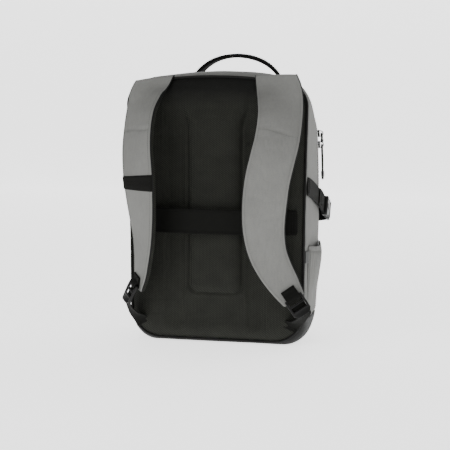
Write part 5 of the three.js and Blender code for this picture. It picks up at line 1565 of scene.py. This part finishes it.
# Tape: the body's outline drawn in by an inset for each depth. Coil: short bars at even steps,
# each set a little to one side and the other in turn.
def makeMainZip():
    k = zipper
    path = relax(bodyPoint(wholeRound, (k["rear"] + k["front"]) / 2, 0.0)[None], 3)[0]
    shown = (path[:, 2] > k["end"] - 6)
    around = np.linspace(wholeRound[shown].min(), wholeRound[shown].max(), 240)
    depths = np.array([102.6, 104.5, 107.5, 108.3, 109.4, 111, 112.6, 113.7, 114.5, 117.5, 119.4])
    inset = np.array([2.0, 1.9, 1.6, 1.4, 1.0, 0.9, 1.0, 1.4, 1.6, 1.9, 2.0]) - 0.4
    grid = bodyPoint(around[None], depths[:, None], inset[:, None])
    grid = relax(grid, 2, False)
    shape = Shape().grid(grid, awayFrom=vec(0, bag["zipMiddle"], 230))
    tape = shape.build("mainZipTape", tapeFinish, "zip_tape", ["main_zip"], subdivide=1)
    line = relax(bodyPoint(around, bag["zipMiddle"], 0.1)[None], 2, False)[0]
    points, along = alongPath(line, k["pitch"])
    out = unit(np.cross(vec(0, 1, 0), along))
    out = out * np.sign(np.sum(out * (points - vec(0, bag["zipMiddle"], 230)), -1, keepdims=True))
    side = np.broadcast_to(vec(0, 1, 0), points.shape)
    offset = np.where(np.arange(len(points)) % 2 == 0, 1.0, -1.0)[:, None] * 0.9
    corners = []
    for y, r in ((-k["wide"] / 2, 0.45), (0, 0.62), (k["wide"] / 2, 0.45)):
        for turn in (0.25, 0.75, 1.25, 1.75):
            corners.append(points + side * (y + offset) + along * (r * math.cos(turn * math.pi))
                           + out * (r * math.sin(turn * math.pi)))
    shape = Shape().copies(np.stack(corners, 1), capsuleFaces)
    shape.build("mainZipCoil", plasticFinish, "zip_tape")
    return tape


makeMainZip()


# Sliders and their cord pulls
# Slider: a waisted plate on two wings and a hooped eye over it that the cord runs through.
def makeSlider(name, node, f):
    shape = Shape()
    addBar(shape, f, [[-6.5, 2.6, 0, 1.9], [-4.5, 4.0, 0, 2.5], [1, 4.2, 0, 2.6], [4, 3.5, 0, 2.5],
                      [6.5, 2.3, 0, 1.9]], 0.9)
    hoop = curveThrough(np.array([[0, -4.8, 1.6], [0, -4.3, 5.6], [0, -2.2, 8.2], [0, 0, 8.6], [0, 2.2, 8.2],
                                  [0, 4.3, 5.6], [0, 4.8, 1.6]]), 0.8)
    _, across, out = pathFrames(hoop, (1, 0, 0))
    section = roundSection(0.75, 1.45, 12, 0.7)
    grid = sweep(hoop, across, out, section)
    shape.loft(inFrame(f, grid))
    return shape.build(name, plasticFinish, "black_plastic", [node])


# Pull: one cord doubled through the eye, both ends moulded into a tapered grip.
def makePull(name, node, f, length, grip):
    eye, start = 5.9, length - grip
    points = np.array([[-3, start + 2, eye], [-4, start / 2, eye + 0.3], [-3.3, 2, eye], [-1.5, 0, eye],
                       [1.5, 0, eye], [3.3, 2, eye], [4, start / 2, eye + 0.3], [3, start + 2, eye]])
    line = curveThrough(points, 0.9)
    _, across, out = pathFrames(line, (0, 0, 1))
    shape = Shape().loft(inFrame(f, sweep(line, across, out, roundSection(1.15, count=10))))
    cordPiece = shape.build(name + "Cord", cordFinish, "pull_cord", [node])
    shape = Shape()
    rows = [[start - 0.4, 4.7, eye - 1.5, eye + 1.5], [start + 1.4, 5.6, eye - 1.9, eye + 1.9],
            [start + grip * 0.5, 5.4, eye - 1.9, eye + 1.9], [length, 4.1, eye - 1.3, eye + 1.3]]
    addBar(shape, f, rows, 1.2)
    for k in range(int(grip // 4)):
        y = start + 3.2 + 2.6 * k
        addBar(shape, crosswise(f, 0, y, eye + 1.8), [[-4.2, 0.5, -0.3, 0.5], [4.2, 0.5, -0.3, 0.5]], 0.35)
    shape.build(name + "Grip", plasticFinish, "pull_cord")
    return cordPiece


# Frame on the side at the middle of the zip, its length running down the surface.
def sideZipFrame(height):
    near, depth = 6, bag["zipMiddle"]
    surface = [vec(float(sideAt(depth, height + step)), depth, height + step) for step in (near, 0, -near)]
    along = unit(surface[2] - surface[0])
    face = vec(-along[2], 0, along[0])
    return frameFrom(surface[1] + face * 0.6, along, face)


# Place, height, pull's length and length of its grip
mainSliders = (("upper", 353, 16, 6), ("lower", 334, 60, 15))
for place, height, length, grip in mainSliders:
    f = sideZipFrame(height)
    makeSlider(f"mainSlider_{place}", f"main_slider_{place}", f)
    makePull(f"mainPull_{place}", f"main_pull_{place}", f, length, grip)
print("zips")


# Front pocket: a low dome of cloth with a zip across its upper part
frontPocket = {"half": 88, "low": 56, "height": 206, "corner": 34, "bulge": 15, "slope": 28, "zipHeight": 232,
               "zipHalf": 76, "tape": 11}


# Distance in from the pocket's outline, a rectangle with round corners.
def pocketInset(x, z):
    k = frontPocket
    middle = k["low"] + k["height"] / 2
    dx = np.abs(x) - (k["half"] - k["corner"])
    dz = np.abs(z - middle) - (k["height"] / 2 - k["corner"])
    outside = np.hypot(np.maximum(dx, 0), np.maximum(dz, 0)) + np.minimum(np.maximum(dx, dz), 0)
    return k["corner"] - outside


# Rise of the dome, with t the share of the slope reached in from its edge: 0.62 of the bulge goes
# as the 0.22 power of t, and the rest as one less the square of 1 - t.
def domeRise(x, z):
    share = np.clip(pocketInset(x, z) / frontPocket["slope"], 0, 1)
    full = 1 - (1 - share) ** 2
    return frontPocket["bulge"] * (0.62 * np.maximum(share, 1e-6) ** 0.22 + 0.38 * full) * (share > 0)


# Rings drawn in from the pocket's outline to its middle, raised by the dome and sunk under the
# zip's tape, with piping round the edge.
def makeFrontPocket():
    k = frontPocket
    middle = vec(0, 0, k["low"] + k["height"] / 2)
    base = bag["depth"] + 0.6
    count = 176
    turn = np.linspace(0, 2 * math.pi, count, endpoint=False)
    # the outline is found along each direction by halving
    direction = np.stack([np.cos(turn) * k["half"], 0 * turn, np.sin(turn) * k["height"] / 2], -1)
    fourth = np.abs(np.cos(turn)) ** 4 + np.abs(np.sin(turn)) ** 4
    direction = direction / fourth[:, None] ** 0.25
    low, high = np.zeros(count), np.full(count, 1.6)
    for _ in range(24):
        share = (low + high) / 2
        point = middle + direction * share[:, None]
        inside = pocketInset(point[:, 0], point[:, 2]) > 0
        low, high = np.where(inside, share, low), np.where(inside, high, share)
    edge = middle + direction * low[:, None]
    shares = 1 - np.concatenate([[0, 0.004, 0.012, 0.025, 0.045, 0.07], np.linspace(0.1, 0.97, 32)])
    grid = middle + (edge - middle)[None] * shares[:, None, None]
    x, z = grid[..., 0], grid[..., 2]
    away = pocketInset(x, z)
    zipAway = np.hypot(np.maximum(np.abs(x) - k["zipHalf"], 0), z - k["zipHeight"])
    groove = 1.6 * (1 - smooth(zipAway, k["tape"] / 2 - 1.0, k["tape"] / 2 + 0.8))
    welt = 0.6 * ridge(zipAway - k["tape"] / 2 - 1.6, 1.6)
    points = np.stack([x, 0 * x, z], -1)
    swell = 1.0 * noise(points, 60, 101) + 0.5 * noise(points * vec(1, 1, 0.6), 24, 102)
    crease = -0.5 * ridge(noise(points * vec(0.6, 1, 1.2), 44, 103), 0.09)
    keep = smooth(away, 2, 16) * smooth(zipAway, 4, 12)
    y = base + domeRise(x, z) + (swell + crease) * keep - groove + welt * smooth(away, 3, 8)
    grid = np.stack([x, y, z], -1)
    peak = grid[-1].mean(axis=0)
    centre = peak + 0.02 * (grid[-1:] - peak)
    grid = np.concatenate([grid[:1] - vec(0, 0.9, 0), grid, centre])
    shape = Shape().grid(grid, wrapColumns=True, awayFrom=vec(0, 100, 159))
    cover = shape.build("frontPocketCloth", greyFinish, "grey_cloth", ["front_pocket"], thickness=1.2)
    declareCloth(cover, grid, True)
    pipe = edge.copy()
    pipe[:, 1] = base + 0.8
    along = unit(np.roll(pipe, -1, 0) - np.roll(pipe, 1, 0))
    out = np.broadcast_to(vec(0, 1, 0), pipe.shape)
    rings = sweep(pipe, np.cross(along, out), out, roundSection(1.5, count=10))
    Shape().grid(rings, wrapColumns=True, wrapRows=True, awayFrom=pipe[:-1, None]).build(
        "frontPocketPiping", darkFinish, "black_cloth", subdivide=1)
    # tape and coil
    xs = np.linspace(-k["zipHalf"], k["zipHalf"], 90)[None]
    zs = k["zipHeight"] + np.array([-6, -4.5, -3, -1.8, 0, 1.8, 3, 4.5, 6])[:, None]
    xs, zs = np.broadcast_arrays(xs, zs)
    ys = base + domeRise(xs, zs) - 0.9 + 0.5 * ridge(zs - k["zipHeight"], 2)
    strip = np.stack([xs, ys, zs], -1)
    Shape().grid(strip, awayFrom=vec(0, 100, 232)).build(
        "frontPocketTape", tapeFinish, "zip_tape", ["front_pocket_zip"], thickness=0.5)
    line = strip[4] + vec(0, 0.5, 0)
    points, along = alongPath(line, zipper["pitch"])
    offset = np.where(np.arange(len(points)) % 2 == 0, 1.0, -1.0)[:, None] * 0.8
    corners = []
    for reach, r in ((-2.5, 0.45), (0, 0.6), (2.5, 0.45)):
        for turn in (0.25, 0.75, 1.25, 1.75):
            corners.append(points + vec(0, 0, 1) * (reach + offset) + along * (r * math.cos(turn * math.pi))
                           + vec(0, 1, 0) * (r * math.sin(turn * math.pi)))
    Shape().copies(np.stack(corners, 1), capsuleFaces).build("frontPocketCoil", plasticFinish, "zip_tape")
    stitches = Shape()  # round the edge and along both sides of the zip
    ring = middle + (edge - middle) * 0.955
    ring = np.concatenate([ring, ring[:1]])
    ring[:, 1] = base + domeRise(ring[:, 0], ring[:, 2]) + 0.1
    addStitches(stitches, ring, np.repeat(vec(0, 1, 0)[None], len(ring), 0), 0.25)
    for rise in (-1, 1):
        row = np.stack([np.linspace(-76, 76, 60), np.zeros(60), np.full(60, k["zipHeight"] + rise * 8.4)], -1)
        row[:, 1] = base + domeRise(row[:, 0], row[:, 2]) + 0.5
        addStitches(stitches, row, np.repeat(vec(0, 1, 0)[None], 60, 0), 0.25)
    stitches.build("frontPocketStitches", greyThread, "grey_cloth")
    slide = vec(k["zipHalf"] - 26, base + float(domeRise(vec(50), vec(k["zipHeight"] - 4.25))[0]) + 0.4,
                k["zipHeight"])
    f = frameFrom(slide, vec(-1, 0, 0), vec(0, 1, 0))
    makeSlider("frontPocketSlider", "front_pocket_slider", f)
    makePull("frontPocketPull", "front_pocket_pull", f, 30, 15)


makeFrontPocket()
print("front pocket")


# Seam stitches on the shell
# Lines of the body's outline beside the rear seam and beside both edges of the main zip.
def makeSeamStitches():
    shape = Shape()
    top = wholeRound[bodyPoint(wholeRound, bag["zipMiddle"])[:, 2] > zipper["end"]]
    for depth, around in ((7.5, wholeRound), (99.5, top), (122.5, top)):
        line = bodyPoint(around, depth, 0.0)
        line = line[line[:, 2] > bag["baseHeight"] + 3] if depth < 10 else line
        centre = vec(0, depth, 200)
        along = unit(np.gradient(line, axis=0))
        normals = unit(np.cross(np.broadcast_to(vec(0, 1, 0), line.shape), along))
        normals = normals * np.sign(np.sum(normals * (line - centre), -1, keepdims=True))
        addStitches(shape, line, normals, 0.1)
    return shape.build("seamStitches", greyThread, "grey_cloth")


makeSeamStitches()


# Stage, light and camera
# Floor that curves up into a backdrop: flat, then a quarter circle, then a wall.
def makeStage():
    turn = np.linspace(0, math.pi / 2, 16)
    far, radius, height = 2600, 900, 2600
    line = np.concatenate([
        [[-2600, 0.0]], np.stack([far + radius * np.sin(turn), radius * (1 - np.cos(turn))], -1),
        [[far + radius, height]]])
    across = np.linspace(-4200, 4200, 9)
    grid = np.stack(np.broadcast_arrays(
        across[:, None], line[None, :, 0], line[None, :, 1] - 0.2), -1)
    f = Finish("paleFloor", (0.92, 0.92, 0.92), 0.8, Emission_Color=(1, 1, 1, 1), Emission_Strength=1.7)
    piece = Shape().grid(grid).build("paleFloor", f.material, None)
    return piece


studio = {
    "key": {"place": (-1.1, -2.6, 1.5), "size": 1.8, "power": 45},
    "fill": {"place": (2.2, -1.6, 1.0), "size": 2.0, "power": 13},
    "top": {"place": (0.1, 0.3, 2.6), "size": 2.2, "power": 14},
    "rim": {"place": (1.6, 1.6, 1.7), "size": 1.4, "power": 8},
    "world": 0.3,
}


# Square lamp at a place, turned so that it looks at a point.
def makeLight(name, place, size, power, at=(0, 0, 0.22)):
    data = bpy.data.lights.new(name, "AREA")
    data.shape = "SQUARE"
    data.size = size
    data.energy = power
    lamp = bpy.data.objects.new(name, data)
    bpy.context.scene.collection.objects.link(lamp)
    away = np.array(place, float) - np.array(at, float)
    flat = math.hypot(away[0], away[1])
    lamp.location = place
    lamp.rotation_euler = (math.atan2(flat, away[2]), 0, math.atan2(away[1], away[0]) + math.pi / 2)
    return lamp


# Camera at a distance from its target, by its turn round it and its height above it in degrees.
def makeCamera(target, azimuth, elevation, distance, lens):
    a, e = math.radians(azimuth), math.radians(elevation)
    away = np.array([math.sin(a) * math.cos(e), -math.cos(a) * math.cos(e), math.sin(e)])
    data = bpy.data.cameras.new("camera")
    data.lens = lens
    data.sensor_width = data.sensor_height = 36
    data.sensor_fit = "HORIZONTAL"
    data.clip_end = 30
    cam = bpy.data.objects.new("camera", data)
    bpy.context.scene.collection.objects.link(cam)
    cam.location = np.array(target) + away * distance
    cam.rotation_euler = (math.pi / 2 - e, 0, a)
    bpy.context.scene.camera = cam
    return cam


makeStage()
for lightName in ("key", "fill", "top", "rim"):
    makeLight(lightName, **studio[lightName])
world = bpy.data.worlds.new("studio")
world.use_nodes = True
world.node_tree.nodes["Background"].inputs[0].default_value = (1, 1, 1, 1)
world.node_tree.nodes["Background"].inputs[1].default_value = studio["world"]
bpy.context.scene.world = world
view = {"target": (0.015, -0.080, 0.203), "azimuth": 15, "elevation": 6.6, "distance": 2.7, "lens": 128}
makeCamera(**view)
print("stage, light and camera ready")
